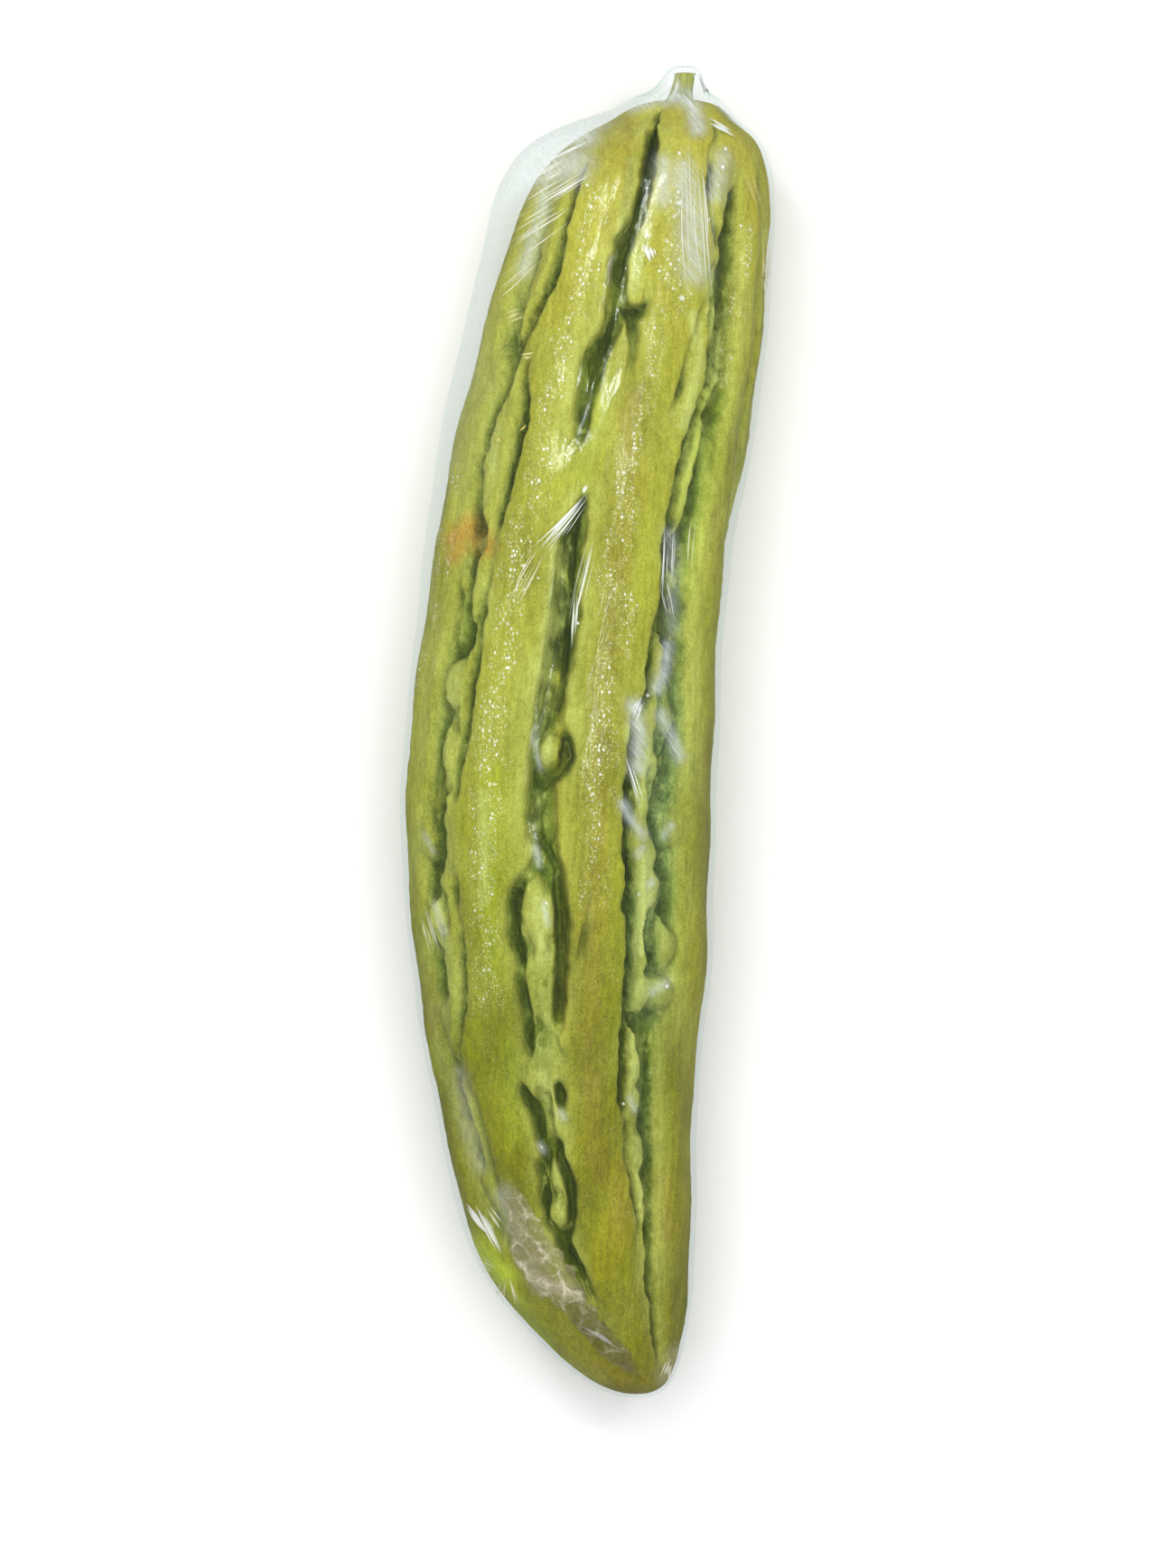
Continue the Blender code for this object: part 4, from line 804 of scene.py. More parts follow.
# Painted shade: dark lines painted along the slits and grooves, where shade falls.
PAINTED_SHADE_LINES = (
    (4.5, 0.9, ((727, 125), (722, 165), (715, 202), (706, 236), (696, 264), (689, 292), (686, 318))),
    (5, 1, ((684, 345), (673, 375), (661, 403), (652, 436), (645, 470))),
    (4.5, 0.9, ((686, 344), (700, 349), (714, 338))),
    (5, 1, ((644, 558), (636, 598), (633, 640), (631, 680), (628, 715), (624, 750), (618, 785))),
    (7, 0.8, ((618, 862), (604, 872), (596, 868))),
    (4.5, 0.8, ((800, 250), (796, 300), (793, 350), (788, 410), (778, 450), (764, 500), (750, 548))),
    (6, 1, ((740, 580), (737, 620), (735, 660), (731, 700))),
    (5, 0.8, ((714, 722), (718, 750), (716, 775))),
    (4, 0.8, ((697, 860), (692, 930), (696, 1010), (692, 1100), (690, 1190))),
    (5, 0.9, ((734, 1000), (722, 1020), (720, 1050), (727, 1078))),
    (5, 0.8, ((712, 1150), (716, 1200), (719, 1260), (719, 1320), (720, 1390), (724, 1440))),
    (5, 0.8, ((724, 1440), (730, 1490))),
    (4.5, 0.6, ((584, 1205), (596, 1228), (602, 1256))),
    (4, 0.5, ((604, 1296), (608, 1330), (610, 1355))),
    (4, 0.5, ((626, 1280), (633, 1320), (632, 1358), (640, 1398), (654, 1434))),
    (3.5, 0.7, ((617, 960), (622, 1000), (622, 1050), (620, 1110))),
    (3.5, 0.7, ((578, 985), (574, 1020), (580, 1060), (586, 1110), (588, 1150))),
    (5, 0.8, ((582, 450), (580, 490), (566, 540), (553, 580))),
    (4.5, 0.7, ((532, 480), (527, 530))),
    (6, 0.9, ((506, 690), (504, 722))),
    (4, 0.7, ((512, 632), (510, 680))),
    (5, 0.8, ((484, 790), (484, 820))),
    (7, 0.9, ((464, 897), (480, 900), (486, 930), (482, 956))),
    (5, 0.8, ((484, 988), (490, 1012))),
    (4.5, 0.7, ((505, 985), (508, 1100), (509, 1150))),
    (5, 0.6, ((618, 300), (604, 332), (586, 366), (572, 392))),
)
YELLOW_AND_PAINTED_HIGHLIGHT = (
    # The first line is a painted highlight along the left edge of a ridge; the others are yellow
    # patches.
    (7, 0.8, ((621, 740), (618, 900), (626, 1000), (625, 1150))),
    (16, 0.7, ((534, 1400), (556, 1425))),
    (22, 0.5, ((840, 170), (845, 300), (830, 420))),
    (22, 0.7, ((778, 1020), (770, 1200), (756, 1380))),
)
LIME = (
    (16, 1, ((528, 1384), (540, 1400), (558, 1414))),
    (10, 0.6, ((562, 1425), (580, 1455), (604, 1488))),
    (12, 0.4, ((620, 1510), (660, 1532))),
    (16, 0.4, ((788, 440), (776, 520), (764, 590), (752, 650))),
    (14, 0.3, ((548, 860), (545, 960), (542, 1080))),
    (12, 0.3, ((662, 400), (655, 470), (644, 530))),
    (10, 0.25, ((560, 1150), (570, 1260))),
)
BLUISH = (
    (22, 1, ((735, 770), (728, 900), (718, 1010), (716, 1110))),
    (14, 0.7, ((776, 470), (762, 560), (750, 640))),
    (12, 0.5, ((706, 1180), (708, 1280))),
)
UPPER_FROM, LIME_FROM, UPPER_OVER = 22, 10, 8  # heights where paint starts, and the rise to full
FULL_VALLEY, FULL_HOLLOW = 6.2, 2.2  # millimetres that count as 1

upper = np.clip((skin_points[:, 2] - UPPER_FROM) / UPPER_OVER, 0, 1)
lime_upper = np.clip((skin_points[:, 2] - LIME_FROM) / UPPER_OVER, 0, 1)
places = picture_place(skin_points)
paint(
    fruit,
    along=station / FRUIT_LENGTH,
    valley=np.clip(flat_depth / FULL_VALLEY, 0, 1),
    hollow=np.clip(hollow.ravel() / FULL_HOLLOW, -1, 1),
    sparkle=painted(places, upper, PAINTED_SKIN_GLINTS),
    stain=painted(places, upper, STAIN),
    brown=painted(places, upper, BROWN_AND_PAINTED_SHADE),
    yellow=painted(places, upper, YELLOW_AND_PAINTED_HIGHLIGHT),
    lime=painted(places, lime_upper, LIME),
    pale=painted(places, upper, PAINTED_HIGHLIGHTS),
    dark=painted(places, upper, PAINTED_SHADE_LINES),
    bluish=painted(places, upper, BLUISH),
)

# %% [markdown]
# ## Writing materials as expressions
# A finish here is a few numbers per point turned into colour, roughness and bump. Wiring that by hand
# hides the arithmetic, so one small class wraps a socket, and adding or multiplying two of them adds
# the Math node. Every other node comes from one method.


# %% Node expressions
class Wire:
    """An output socket that can be added, multiplied and limited like a number."""

    def __init__(self, finish, socket):
        self.finish, self.socket = finish, socket

    def maths(self, operation, *others):
        return self.finish.node("ShaderNodeMath", {"operation": operation}, (self, *others))

    def __add__(self, other):
        return self.maths("ADD", other)

    def __mul__(self, other):
        return self.maths("MULTIPLY", other)

    def __truediv__(self, other):
        return self.maths("DIVIDE", other)

    def __rsub__(self, other):
        return self * -1 + other

    def __sub__(self, other):
        return self.maths("SUBTRACT", other)

    __radd__, __rmul__ = __add__, __mul__

    def between(self, low, high):
        """0 below low, 1 above high, and a soft step between."""
        values = {"Value": self, "From Min": low, "From Max": high}
        return self.finish.node("ShaderNodeMapRange", {"interpolation_type": "SMOOTHSTEP"}, values)

    def limited(self):
        """Held between 0 and 1."""
        return self.maths("MINIMUM", 1.0).maths("MAXIMUM", 0.0)


class Finish:
    """A material whose nodes are made by expressions."""

    def __init__(self, name):
        self.material = bpy.data.materials.new(name)
        self.material.use_nodes = True
        self.tree = self.material.node_tree
        self.surface = self.tree.nodes["Principled BSDF"]

    def node(self, kind, settings=None, values=(), output=0):
        """Adds a node: its settings first, then a value or a wire for each named or numbered socket."""
        added = self.tree.nodes.new(kind)
        for name, value in (settings or {}).items():
            if name == "stops":
                self.set_stops(added.color_ramp, value)
            else:
                setattr(added, name, value)
        for key, value in values.items() if isinstance(values, dict) else enumerate(values):
            self.join(added.inputs[key], value)
        return Wire(self, added.outputs[output])

    def join(self, socket, value):
        """Links a wire to a socket, or sets the socket's own value."""
        if isinstance(value, Wire):
            self.tree.links.new(value.socket, socket)
        else:
            socket.default_value = value

    def set_stops(self, ramp, stops):
        """Gives a colour ramp its stops, as rows of position and colour."""
        while len(ramp.elements) < len(stops):
            ramp.elements.new(0.5)
        for element, (position, colour) in zip(ramp.elements, stops):
            element.position, element.color = position, colour

    def read(self, name):
        """The number painted on the piece under this name."""
        return self.node("ShaderNodeAttribute", {"attribute_name": name}, output="Fac")

    def places(self, stretch=(1, 1, 1), turned=0):
        """Object coordinates in millimetres, stretched, and turned about Z by so many degrees."""
        values = {
            "Vector": self.node("ShaderNodeTexCoord", output="Object"),
            "Rotation": (0, 0, math.radians(turned)),
            "Scale": [size * MM for size in stretch],
        }
        return self.node("ShaderNodeMapping", {"vector_type": "TEXTURE"}, values)

    def grain(self, where, detail=2.0, roughness=0.5):
        """Smooth noise, about 0.5 on average."""
        values = {"Vector": where, "Scale": 1.0, "Detail": detail, "Roughness": roughness}
        return self.node("ShaderNodeTexNoise", {}, values)

    def mixed(self, share, first, second):
        """First where share is 0, second where it is 1."""
        return self.blended(share, first, second, "MIX")

    def soft_light(self, share, colour, light):
        """The colour, lighter where light is over 0.5 and darker where it is under."""
        return self.blended(share, colour, light, "SOFT_LIGHT")

    def blended(self, share, first, second, blend):
        added = self.tree.nodes.new("ShaderNodeMix")
        added.data_type, added.blend_type = "RGBA", blend
        for number, value in ((0, share), (6, first), (7, second)):  # its sockets for colours
            self.join(added.inputs[number], value)
        return Wire(self, added.outputs[2])

    def bump(self, strength, distance, height):
        values = {"Strength": strength, "Distance": distance, "Height": height}
        self.set(Normal=self.node("ShaderNodeBump", {}, values))

    def put_on(self, piece):
        piece.data.materials.append(self.material)
        print(f"{self.material.name}: {len(self.tree.nodes)} nodes")

    def see_through(self, cover):
        """Lets light through where cover is under 1."""
        clear = self.node("ShaderNodeBsdfTransparent", {}, {"Color": CLEAR})
        solid = Wire(self, self.surface.outputs[0])
        blend = self.node("ShaderNodeMixShader", {}, (cover, clear, solid))
        self.join(self.tree.nodes["Material Output"].inputs["Surface"], blend)

    def set(self, **values):
        """Sets or links the shader's sockets, named with _ for each space."""
        for name, value in values.items():
            self.join(self.surface.inputs[name.replace("_", " ")], value)


def srgb(red, green, blue):
    """A colour picked as it looks on a screen, 0 to 255, as the light values that a shader takes."""
    shares = np.array((red, green, blue)) / 255
    light = np.where(shares < 0.04045, shares / 12.92, ((shares + 0.055) / 1.055) ** 2.4)
    return (*light.tolist(), 1.0)


print("middle grey on a screen is", round(srgb(128, 128, 128)[0], 3), "to a shader")

# %% [markdown]
# ## Skin finish
# The ridges go from pale yellow-green at the stalk end to olive at the tip, and the furrows are a
# cooler green, darker the deeper they lie, which is partly painted shade. Noise in several sizes
# breaks both up, and the painted tints, highlights and shade go on top, one after another. The
# colours are chosen against the photograph.

# %% Skin material
CREST_COLOURS = (
    (0.0, srgb(184, 176, 62)),
    (0.22, srgb(163, 161, 50)),
    (0.45, srgb(158, 158, 48)),
    (0.6, srgb(146, 147, 36)),
    (0.72, srgb(125, 127, 14)),
    (0.9, srgb(132, 129, 16)),
    (1.0, srgb(124, 119, 20)),
)
FURROW_AND_SHADE_COLOURS = (
    (0.0, srgb(124, 130, 48)),
    (0.3, srgb(116, 128, 48)),
    (0.6, srgb(106, 124, 36)),
    (0.85, srgb(90, 102, 12)),
    (1.0, srgb(84, 90, 12)),
)
PAINTED_HIGHLIGHT_COLOUR, PAINTED_SHADE_COLOUR = srgb(188, 194, 104), srgb(54, 68, 16)
BLUISH_COLOUR, YELLOW_AND_PAINTED_HIGHLIGHT_COLOUR, LIME_COLOUR = srgb(134, 160, 104), srgb(184, 172, 54), srgb(178, 196, 46)
BROWN_AND_PAINTED_SHADE_COLOUR, STAIN_COLOUR = srgb(138, 116, 44), srgb(184, 138, 56)

skin = Finish("gourd skin")
along, valley, hollow_share = skin.read("along"), skin.read("valley"), skin.read("hollow")
patches = skin.grain(skin.places((9, 22, 9)), 3.0)
fine = skin.grain(skin.places((1.1, 2.4, 1.1)), 2.0)
tiny = skin.grain(skin.places((0.3, 0.6, 0.3)), 2.0)
lumpy = skin.grain(skin.places((2.6, 4.2, 2.6)), 3.0)
fibres = skin.grain(skin.places((0.8, 13, 1.6), -4), 3.0)
ragged = skin.grain(skin.places((1.6, 1.6, 1.6)), 2.0)
wobble = (patches - 0.5) * 0.5
crest = skin.node("ShaderNodeValToRGB", {"stops": CREST_COLOURS}, (along + wobble * 0.35,))
furrow = skin.node("ShaderNodeValToRGB", {"stops": FURROW_AND_SHADE_COLOURS}, (along + wobble * 0.35,))
# The furrows' cooler green, mixed in by depth, also darkens them as painted shade.
furrow_and_shade_share = (valley * 0.95 + wobble + hollow_share * 0.2).between(0.15, 0.9)
colour = skin.mixed(furrow_and_shade_share, crest, furrow)
# Painted highlight on the banks, halfway into the furrows.
painted_bank_highlight = valley.between(0.04, 0.3) * (1 - valley.between(0.45, 0.9))
colour = skin.mixed(painted_bank_highlight * (patches + 0.1) * 0.5, colour, PAINTED_HIGHLIGHT_COLOUR)
# Painted highlight on the lobe tops.
painted_lobe_highlight = (hollow_share * -1.0 * valley).between(0.05, 0.6)
colour = skin.mixed(painted_lobe_highlight * 0.45, colour, PAINTED_HIGHLIGHT_COLOUR)
# Painted highlights along the listed pale lines, with ragged edges.
painted_highlight_share = (skin.read("pale") + (ragged - 0.5) * 0.8).between(0.15, 0.9)
colour = skin.mixed(painted_highlight_share * 0.75, colour, PAINTED_HIGHLIGHT_COLOUR)
colour = skin.mixed(skin.read("bluish") * valley * 0.7, colour, BLUISH_COLOUR)
# Yellow patches, and a painted highlight along one ridge's edge.
colour = skin.mixed(skin.read("yellow") * 0.5, colour, YELLOW_AND_PAINTED_HIGHLIGHT_COLOUR)
colour = skin.mixed(skin.read("lime") * 0.8, colour, LIME_COLOUR)
# Brown patches, and painted shade on one ridge.
colour = skin.mixed(skin.read("brown") * (patches + 0.25) * 0.8, colour, BROWN_AND_PAINTED_SHADE_COLOUR)
stain_share = (skin.read("stain") * (fine + 0.6)).limited()
colour = skin.mixed(stain_share * 0.8, colour, STAIN_COLOUR)
# Painted shade in the hollows, a little weaker towards the tip.
deepest_painted_shade = 0.6 - along.between(0.55, 0.75) * 0.25
colour = skin.mixed(hollow_share.between(0.3, 1.0) * deepest_painted_shade, colour, PAINTED_SHADE_COLOUR)
in_furrow = valley.between(0.3, 0.75)
# Painted shade between the small lumps in the furrows, and painted highlights on the lumps.
colour = skin.mixed(in_furrow * lumpy.between(0.5, 0.66) * 0.5, colour, PAINTED_SHADE_COLOUR)
colour = skin.mixed(in_furrow * (1 - lumpy.between(0.3, 0.44)) * 0.45, colour, PAINTED_HIGHLIGHT_COLOUR)
# Painted shade along the listed slits, inside the furrows.
cleft_painted_shade = (skin.read("dark") + (ragged - 0.5) * 1.1).between(0.3, 0.85) * in_furrow
colour = skin.mixed(cleft_painted_shade * 0.6, colour, PAINTED_SHADE_COLOUR)
for strength, texture in ((0.45, fine), (0.8, tiny), (0.8, patches), (0.4, fibres)):
    colour = skin.soft_light(strength, colour, texture)
print("so far the skin finish has", len(skin.tree.nodes), "nodes")

# %% [markdown]
# The glitter is thousands of painted glints: bright specks a fraction of a millimetre across, where
# the film clings to the waxy skin, painted into the skin's colour. They crowd along the crests in
# lengthwise drifts, so a coarse noise decides where they gather. Each speck is the middle of a small
# cell, and each cell has a random value that says how brightly it shines.

# %% Painted glints on the crests
drifts = skin.grain(skin.places((2.6, 8, 2.6)), 4.0)


def specks(size, least, most):
    """Dots in cells of so many millimetres, bright where a cell's random value is over most."""
    cells = {"Vector": skin.places((size, size * 1.3, size)), "Scale": 1.0}
    away = skin.node("ShaderNodeTexVoronoi", {}, cells, "Distance")
    shine = skin.node("ShaderNodeTexVoronoi", {}, cells, "Color")
    return (1 - away.between(0.1, 0.48)) * shine.between(least, most)


painted_glint_share = skin.read("sparkle") * 0.9 + (1 - valley).between(0.5, 1.0) * 0.18
painted_glint_share = painted_glint_share * drifts.between(0.3, 0.7)
painted_glint_specks = specks(0.46, 0.3, 0.7) * painted_glint_share.between(0.03, 0.45)
painted_gleams = specks(0.8, 0.52, 0.74) * painted_glint_share.between(0.15, 0.6)
PAINTED_SHEEN_COLOUR, PAINTED_SPECK_COLOUR = srgb(206, 202, 124), srgb(244, 238, 178)
PAINTED_GLEAM_COLOUR = srgb(253, 253, 244)
# A painted sheen, painted glint specks and painted gleams, mixed into the skin's colour.
colour = skin.mixed(painted_glint_share * 0.12, colour, PAINTED_SHEEN_COLOUR)
colour = skin.mixed(painted_glint_specks * 0.85, colour, PAINTED_SPECK_COLOUR)
colour = skin.mixed(painted_gleams, colour, PAINTED_GLEAM_COLOUR)
skin.set(Base_Color=colour, Roughness=0.5 + (fine - 0.5) * 0.12, Specular_IOR_Level=0.2)
bumps = skin.grain(skin.places((0.9, 1.3, 0.9)), 3.0) + painted_glint_specks * 0.8 - lumpy * in_furrow * 6
skin.bump(0.45, 0.18 * MM, bumps)
skin.put_on(fruit)

# %% [markdown]
# ## Stalk
# Only a short green stub of the stalk is left, seen through the film's nub. The CAD solid has its
# shape, so the scene lays a finer one over it, with ribs and a cut end that is a little sunken.

# %% Stalk
STALK_RADIUS, STALK_FOOT_RADIUS, STALK_LENGTH, STALK_GAP = 2.2, 3.0, 6, 0.35
STALK_SIDES, STALK_CUTS = 56, 14
STALK_RIBS, RIB_HEIGHT = 5, 0.07  # how many, and their height as a share of the radius
CAP_RIM, CAP_SINK = 0.5, 0.12

stub = bmesh.new()
bmesh.ops.create_cone(
    stub,
    cap_ends=True,
    segments=STALK_SIDES,
    radius1=STALK_FOOT_RADIUS,
    radius2=STALK_RADIUS,
    depth=STALK_LENGTH,
)


def rises(edge):
    return abs(edge.verts[0].co.z - edge.verts[1].co.z) > STALK_LENGTH / 2


upright = [edge for edge in stub.edges if rises(edge)]
bmesh.ops.subdivide_edges(stub, edges=upright, cuts=STALK_CUTS)
caps = [face for face in stub.faces if len(face.verts) > 4]
bmesh.ops.inset_region(stub, faces=caps, thickness=CAP_RIM, depth=-CAP_SINK)
seat_place = np.array(MIDDLE_LINE[0][1:]) + (SEAT_DEPTH - STALK_GAP) * TOWARDS_TIP
stalk_points = []
for vertex in stub.verts:
    height = vertex.co.z + STALK_LENGTH / 2
    risen = np.clip(height / STALK_LENGTH, 0, 1)
    cone_radius = STALK_FOOT_RADIUS + (STALK_RADIUS - STALK_FOOT_RADIUS) * risen
    flared_radius = STALK_RADIUS + (STALK_FOOT_RADIUS - STALK_RADIUS) * (1 - risen) ** 4
    heading = math.atan2(vertex.co.y, vertex.co.x)
    ribs = 1 + RIB_HEIGHT * math.cos(STALK_RIBS * heading)
    wide = min(math.hypot(vertex.co.x, vertex.co.y) / cone_radius, 1)
    across = np.array((math.sin(heading), 0, math.cos(heading))) * flared_radius * ribs * wide
    stalk_points.append(seat_place + across - height * STALK_LEAN)
place_vertices(stub, stalk_points)
stalk = new_piece("stalk_stub", stub)
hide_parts("stalk")

fibre = Finish("stalk")
strands_seen = fibre.grain(fibre.places((0.5, 5, 0.5)), 3.0)
fibre.set(
    Base_Color=fibre.mixed(strands_seen, srgb(126, 132, 52), srgb(190, 190, 104)),
    Roughness=0.75 - strands_seen * 0.25,
)
fibre.bump(0.5, 0.3 * MM, strands_seen)
fibre.put_on(stalk)

# %% [markdown]
# ## Film
# The film is stretched over the ridges and bridges whatever is narrow, so its form is the skin's form
# with the narrow hollows filled. That is the smallest depth near each place, then softened. On the
# left of the stalk end it stands clear as a taut sheet, and it gathers to a nub over the stalk.

# %% Film mesh
FILM_OUT = 0.85  # how far the film's outer side stands off the crests
REACH_MM, REACH_DEGREES = 3.6, 4.6  # hollows narrower than twice this are bridged
SHEET_ANGLE, SHEET_SPREAD = -84, 66
SHEET_STANDOFF = (
    (0, 0), (4, 0.8), (8, 2.4), (13, 4.8), (20, 5.6), (32, 4.2), (46, 3.2), (62, 3.0), (80, 2.0),
    (100, 1.2), (120, 0.3), (135, 0),
)
NUB_RISE = ((0, 6.1), (2.4, 6.0), (3.6, 5.0), (4.6, 2.9), (6, 1.5), (9, 0.7), (14, 0.2), (20, 0))
PLEATS, PLEAT_HEIGHT = 17, 0.35
PLEAT_RADIUS, PLEAT_SPREAD = 6, 4  # where round the stalk the pleats are highest
STALK_END, TIP_END = 30, 200  # stations that bound the two ends
OPEN_RADIUS = 2.2
PRESSED = 0.3  # what is lower than this is pressed flat
TOP_COLUMN = 0.6  # the width of a column near the top, as a share of the mean

rings_wide = max(round(REACH_MM / (FRUIT_LENGTH / RINGS)), 1)
columns_wide = max(round(REACH_DEGREES / (360 / COLUMNS * TOP_COLUMN)), 1)
film_depth = softened(shallowest(depth, rings_wide, columns_wide), rings_wide - 1, columns_wide - 1)
film_points, film_outward = on_skin(station, angle, radius - film_depth.ravel())
square_on = slope[:, :1] * film_outward - slope[:, 1:] * TOWARDS_TIP
from_sheet = np.clip(np.abs(turn_between(angle, SHEET_ANGLE)) / SHEET_SPREAD, 0, 1)
standoff = smooth(station, SHEET_STANDOFF)[:, 0] * np.cos(from_sheet * math.pi / 2) ** 2
at_stalk = station < STALK_END
rise = np.where(at_stalk, smooth(radius, NUB_RISE)[:, 0], 0)
pleat_share = np.where(at_stalk, np.exp(-(((radius - PLEAT_RADIUS) / PLEAT_SPREAD) ** 2)), 0)
pleats = np.cos(PLEATS * turn + 2 * np.sin(3 * turn)) * pleat_share * PLEAT_HEIGHT
film_points += (FILM_OUT + standoff + pleats)[:, None] * square_on - rise[:, None] * STALK_LEAN
film_points[:, 2] = np.where(film_points[:, 2] < PRESSED, 0, film_points[:, 2])

film_mesh = round_mesh(film_points)
grid_number = film_mesh.verts.layers.int["grid"]
opening = (station > TIP_END) & (radius < OPEN_RADIUS)
at_opening = [vertex for vertex in film_mesh.verts if opening[vertex[grid_number]]]
bmesh.ops.delete(film_mesh, geom=at_opening, context="VERTS")
print(f"the film stands {FILM_OUT + standoff.max():.1f} mm clear of the crests at most")

# %% [markdown]
# The real film is one rectangle rolled round the fruit, so somewhere its edge laps over itself. The
# photograph doesn't show where, so the lap lies underneath: the wrap is split there, and one side
# goes on a little way under the other.

# %% Film lap
LAP_TURN, LAP_COLUMNS, LAP_UNDER = 218, 5, 0.25  # degrees of turn, columns, millimetres
LAP_CLEAR = 8  # the lap ends where the fruit's radius is less than this
lap_column = round(LAP_TURN / 360 * COLUMNS)


def in_lap(vertex):
    return vertex[grid_number] % COLUMNS == lap_column and LAP_CLEAR < radius[vertex[grid_number]]


seam = [edge for edge in film_mesh.edges if all(map(in_lap, edge.verts))]
bmesh.ops.split_edges(film_mesh, edges=seam)
one_side = [
    edge
    for edge in film_mesh.edges
    if all(map(in_lap, edge.verts))
    and edge.is_boundary
    and any(v[grid_number] % COLUMNS == lap_column + 1 for v in edge.link_faces[0].verts)
]
lap = bmesh.ops.extrude_edge_only(film_mesh, edges=one_side)["geom"]
inside = film_points - LAP_UNDER * square_on
for vertex in (item for item in lap if isinstance(item, bmesh.types.BMVert)):
    vertex[grid_number] -= LAP_COLUMNS
    vertex.co = Vector(inside[vertex[grid_number]]) * MM
wrap = new_piece("film_wrap", film_mesh)
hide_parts("film")
lift = (depth - film_depth).ravel()
print(f"the film bridges hollows up to {lift.max():.1f} mm deep")

# %% [markdown]
# Clear film turns milky where it is wrinkled or lies double, and a little beige low on the left. Both
# are painted as soft lines, as the skin's tints are, and small highlights on the lobes are painted
# into the haze as well. Film seen edge on is left clear, or the haze would run down the flank, which
# the photograph doesn't show.

# %% Where the film is hazy
CLINGS_WITHIN = 0.35  # millimetres off the skin, past which the film no longer clings
EDGE_ON, EDGE_ON_HAZE = 0.4, 0.1  # upward slope that counts as facing up, and the haze left edge on
HAZE_FROM = 24  # height where haze starts
HAZE_AND_HIGHLIGHTS = (
    (22, 1, ((606, 140), (632, 130), (652, 124))),
    (18, 0.95, ((575, 178), (598, 158), (630, 148), (644, 148))),
    (20, 0.8, ((556, 205), (585, 190), (635, 180))),
    (14, 0.5, ((545, 225), (526, 300), (518, 340))),
    (20, 0.3, ((518, 340), (504, 420))),
    (26, 0.15, ((504, 420), (490, 500))),
    (8, 0.6, ((608, 180), (598, 240), (580, 300))),
    (16, 0.65, ((755, 190), (765, 240), (768, 300))),
    (10, 0.6, ((735, 180), (735, 220))),
    (10, 0.6, ((800, 175), (792, 215))),
    (9, 1, ((733, 108), (752, 106), (768, 118), (772, 142))),
    (8, 0.7, ((700, 118), (722, 112), (740, 98))),
    (8, 0.35, ((742, 590), (746, 640), (744, 700))),
    (8, 0.9, ((750, 100), (764, 102))),
    (7, 0.8, ((740, 715), (735, 745), (728, 762))),
    (9, 0.75, ((702, 782), (708, 810), (706, 850))),
    (7, 0.7, ((732, 790), (742, 812), (752, 838))),
    (6, 0.6, ((690, 890), (698, 905), (712, 925))),
    (9, 0.4, ((508, 1190), (516, 1240), (530, 1290))),
    (12, 0.5, ((560, 1325), (585, 1380), (600, 1420))),
    (10, 0.6, ((750, 1500), (738, 1525))),
    # Small painted highlights on the lobes, put into the haze.
    (4, 0.6, ((735, 926), (743, 914))),
    (4, 0.6, ((706, 946), (712, 938))),
    (4, 0.6, ((719, 980), (723, 976))),
    (3, 0.4, ((590, 815), (598, 850))),
    (4, 0.5, ((593, 938), (597, 956))),
    (3.5, 0.5, ((602, 1002), (606, 1022))),
    (4, 0.45, ((482, 1002), (492, 1032))),
    (3.5, 0.4, ((470, 925), (480, 944))),
    (4, 0.5, ((698, 1216), (702, 1228))),
    (4.5, 0.6, ((722, 1098), (738, 1088))),
    (4, 0.4, ((598, 1268), (602, 1274))),
    (4, 0.5, ((620, 1232), (624, 1238))),
)
BEIGE = (
    (18, 1, ((572, 1330), (590, 1385), (615, 1420), (640, 1450), (660, 1480), (700, 1520))),
    (14, 1, ((750, 1500), (738, 1528))),
    (14, 0.7, ((508, 1190), (522, 1290))),
)
film_places = picture_place(film_points)
facing_up = np.clip(square_on[:, 2] / EDGE_ON, EDGE_ON_HAZE, 1)
film_upper = np.clip((film_points[:, 2] - HAZE_FROM) / UPPER_OVER, 0, 1) * facing_up
paint(
    wrap,
    haze=painted(film_places, film_upper, HAZE_AND_HIGHLIGHTS),
    beige=painted(film_places, film_upper, BEIGE),
    clinging=np.exp(-lift / CLINGS_WITHIN),
)

# %% [markdown]
# ## Creases in the film
# Where the film is pulled hard it draws into bundles of fine creases that catch the light, and that
# brightness is painted on them. Each one is a narrow ribbon between two places in the picture,
# tapering at both ends. The camera's ray through a place says where on the film it lies. A few short,
# wide ones are painted glints.

# %% Film creases
CREASE_STEPS, CREASE_LIFT, CREASE_SEED = 10, 0.1, 11
CREASE_END = 0.03  # a share of its length: no crease gets thinner past here, so each face has area
CREASE_BOW, FAINTEST = 0.02, 0.35
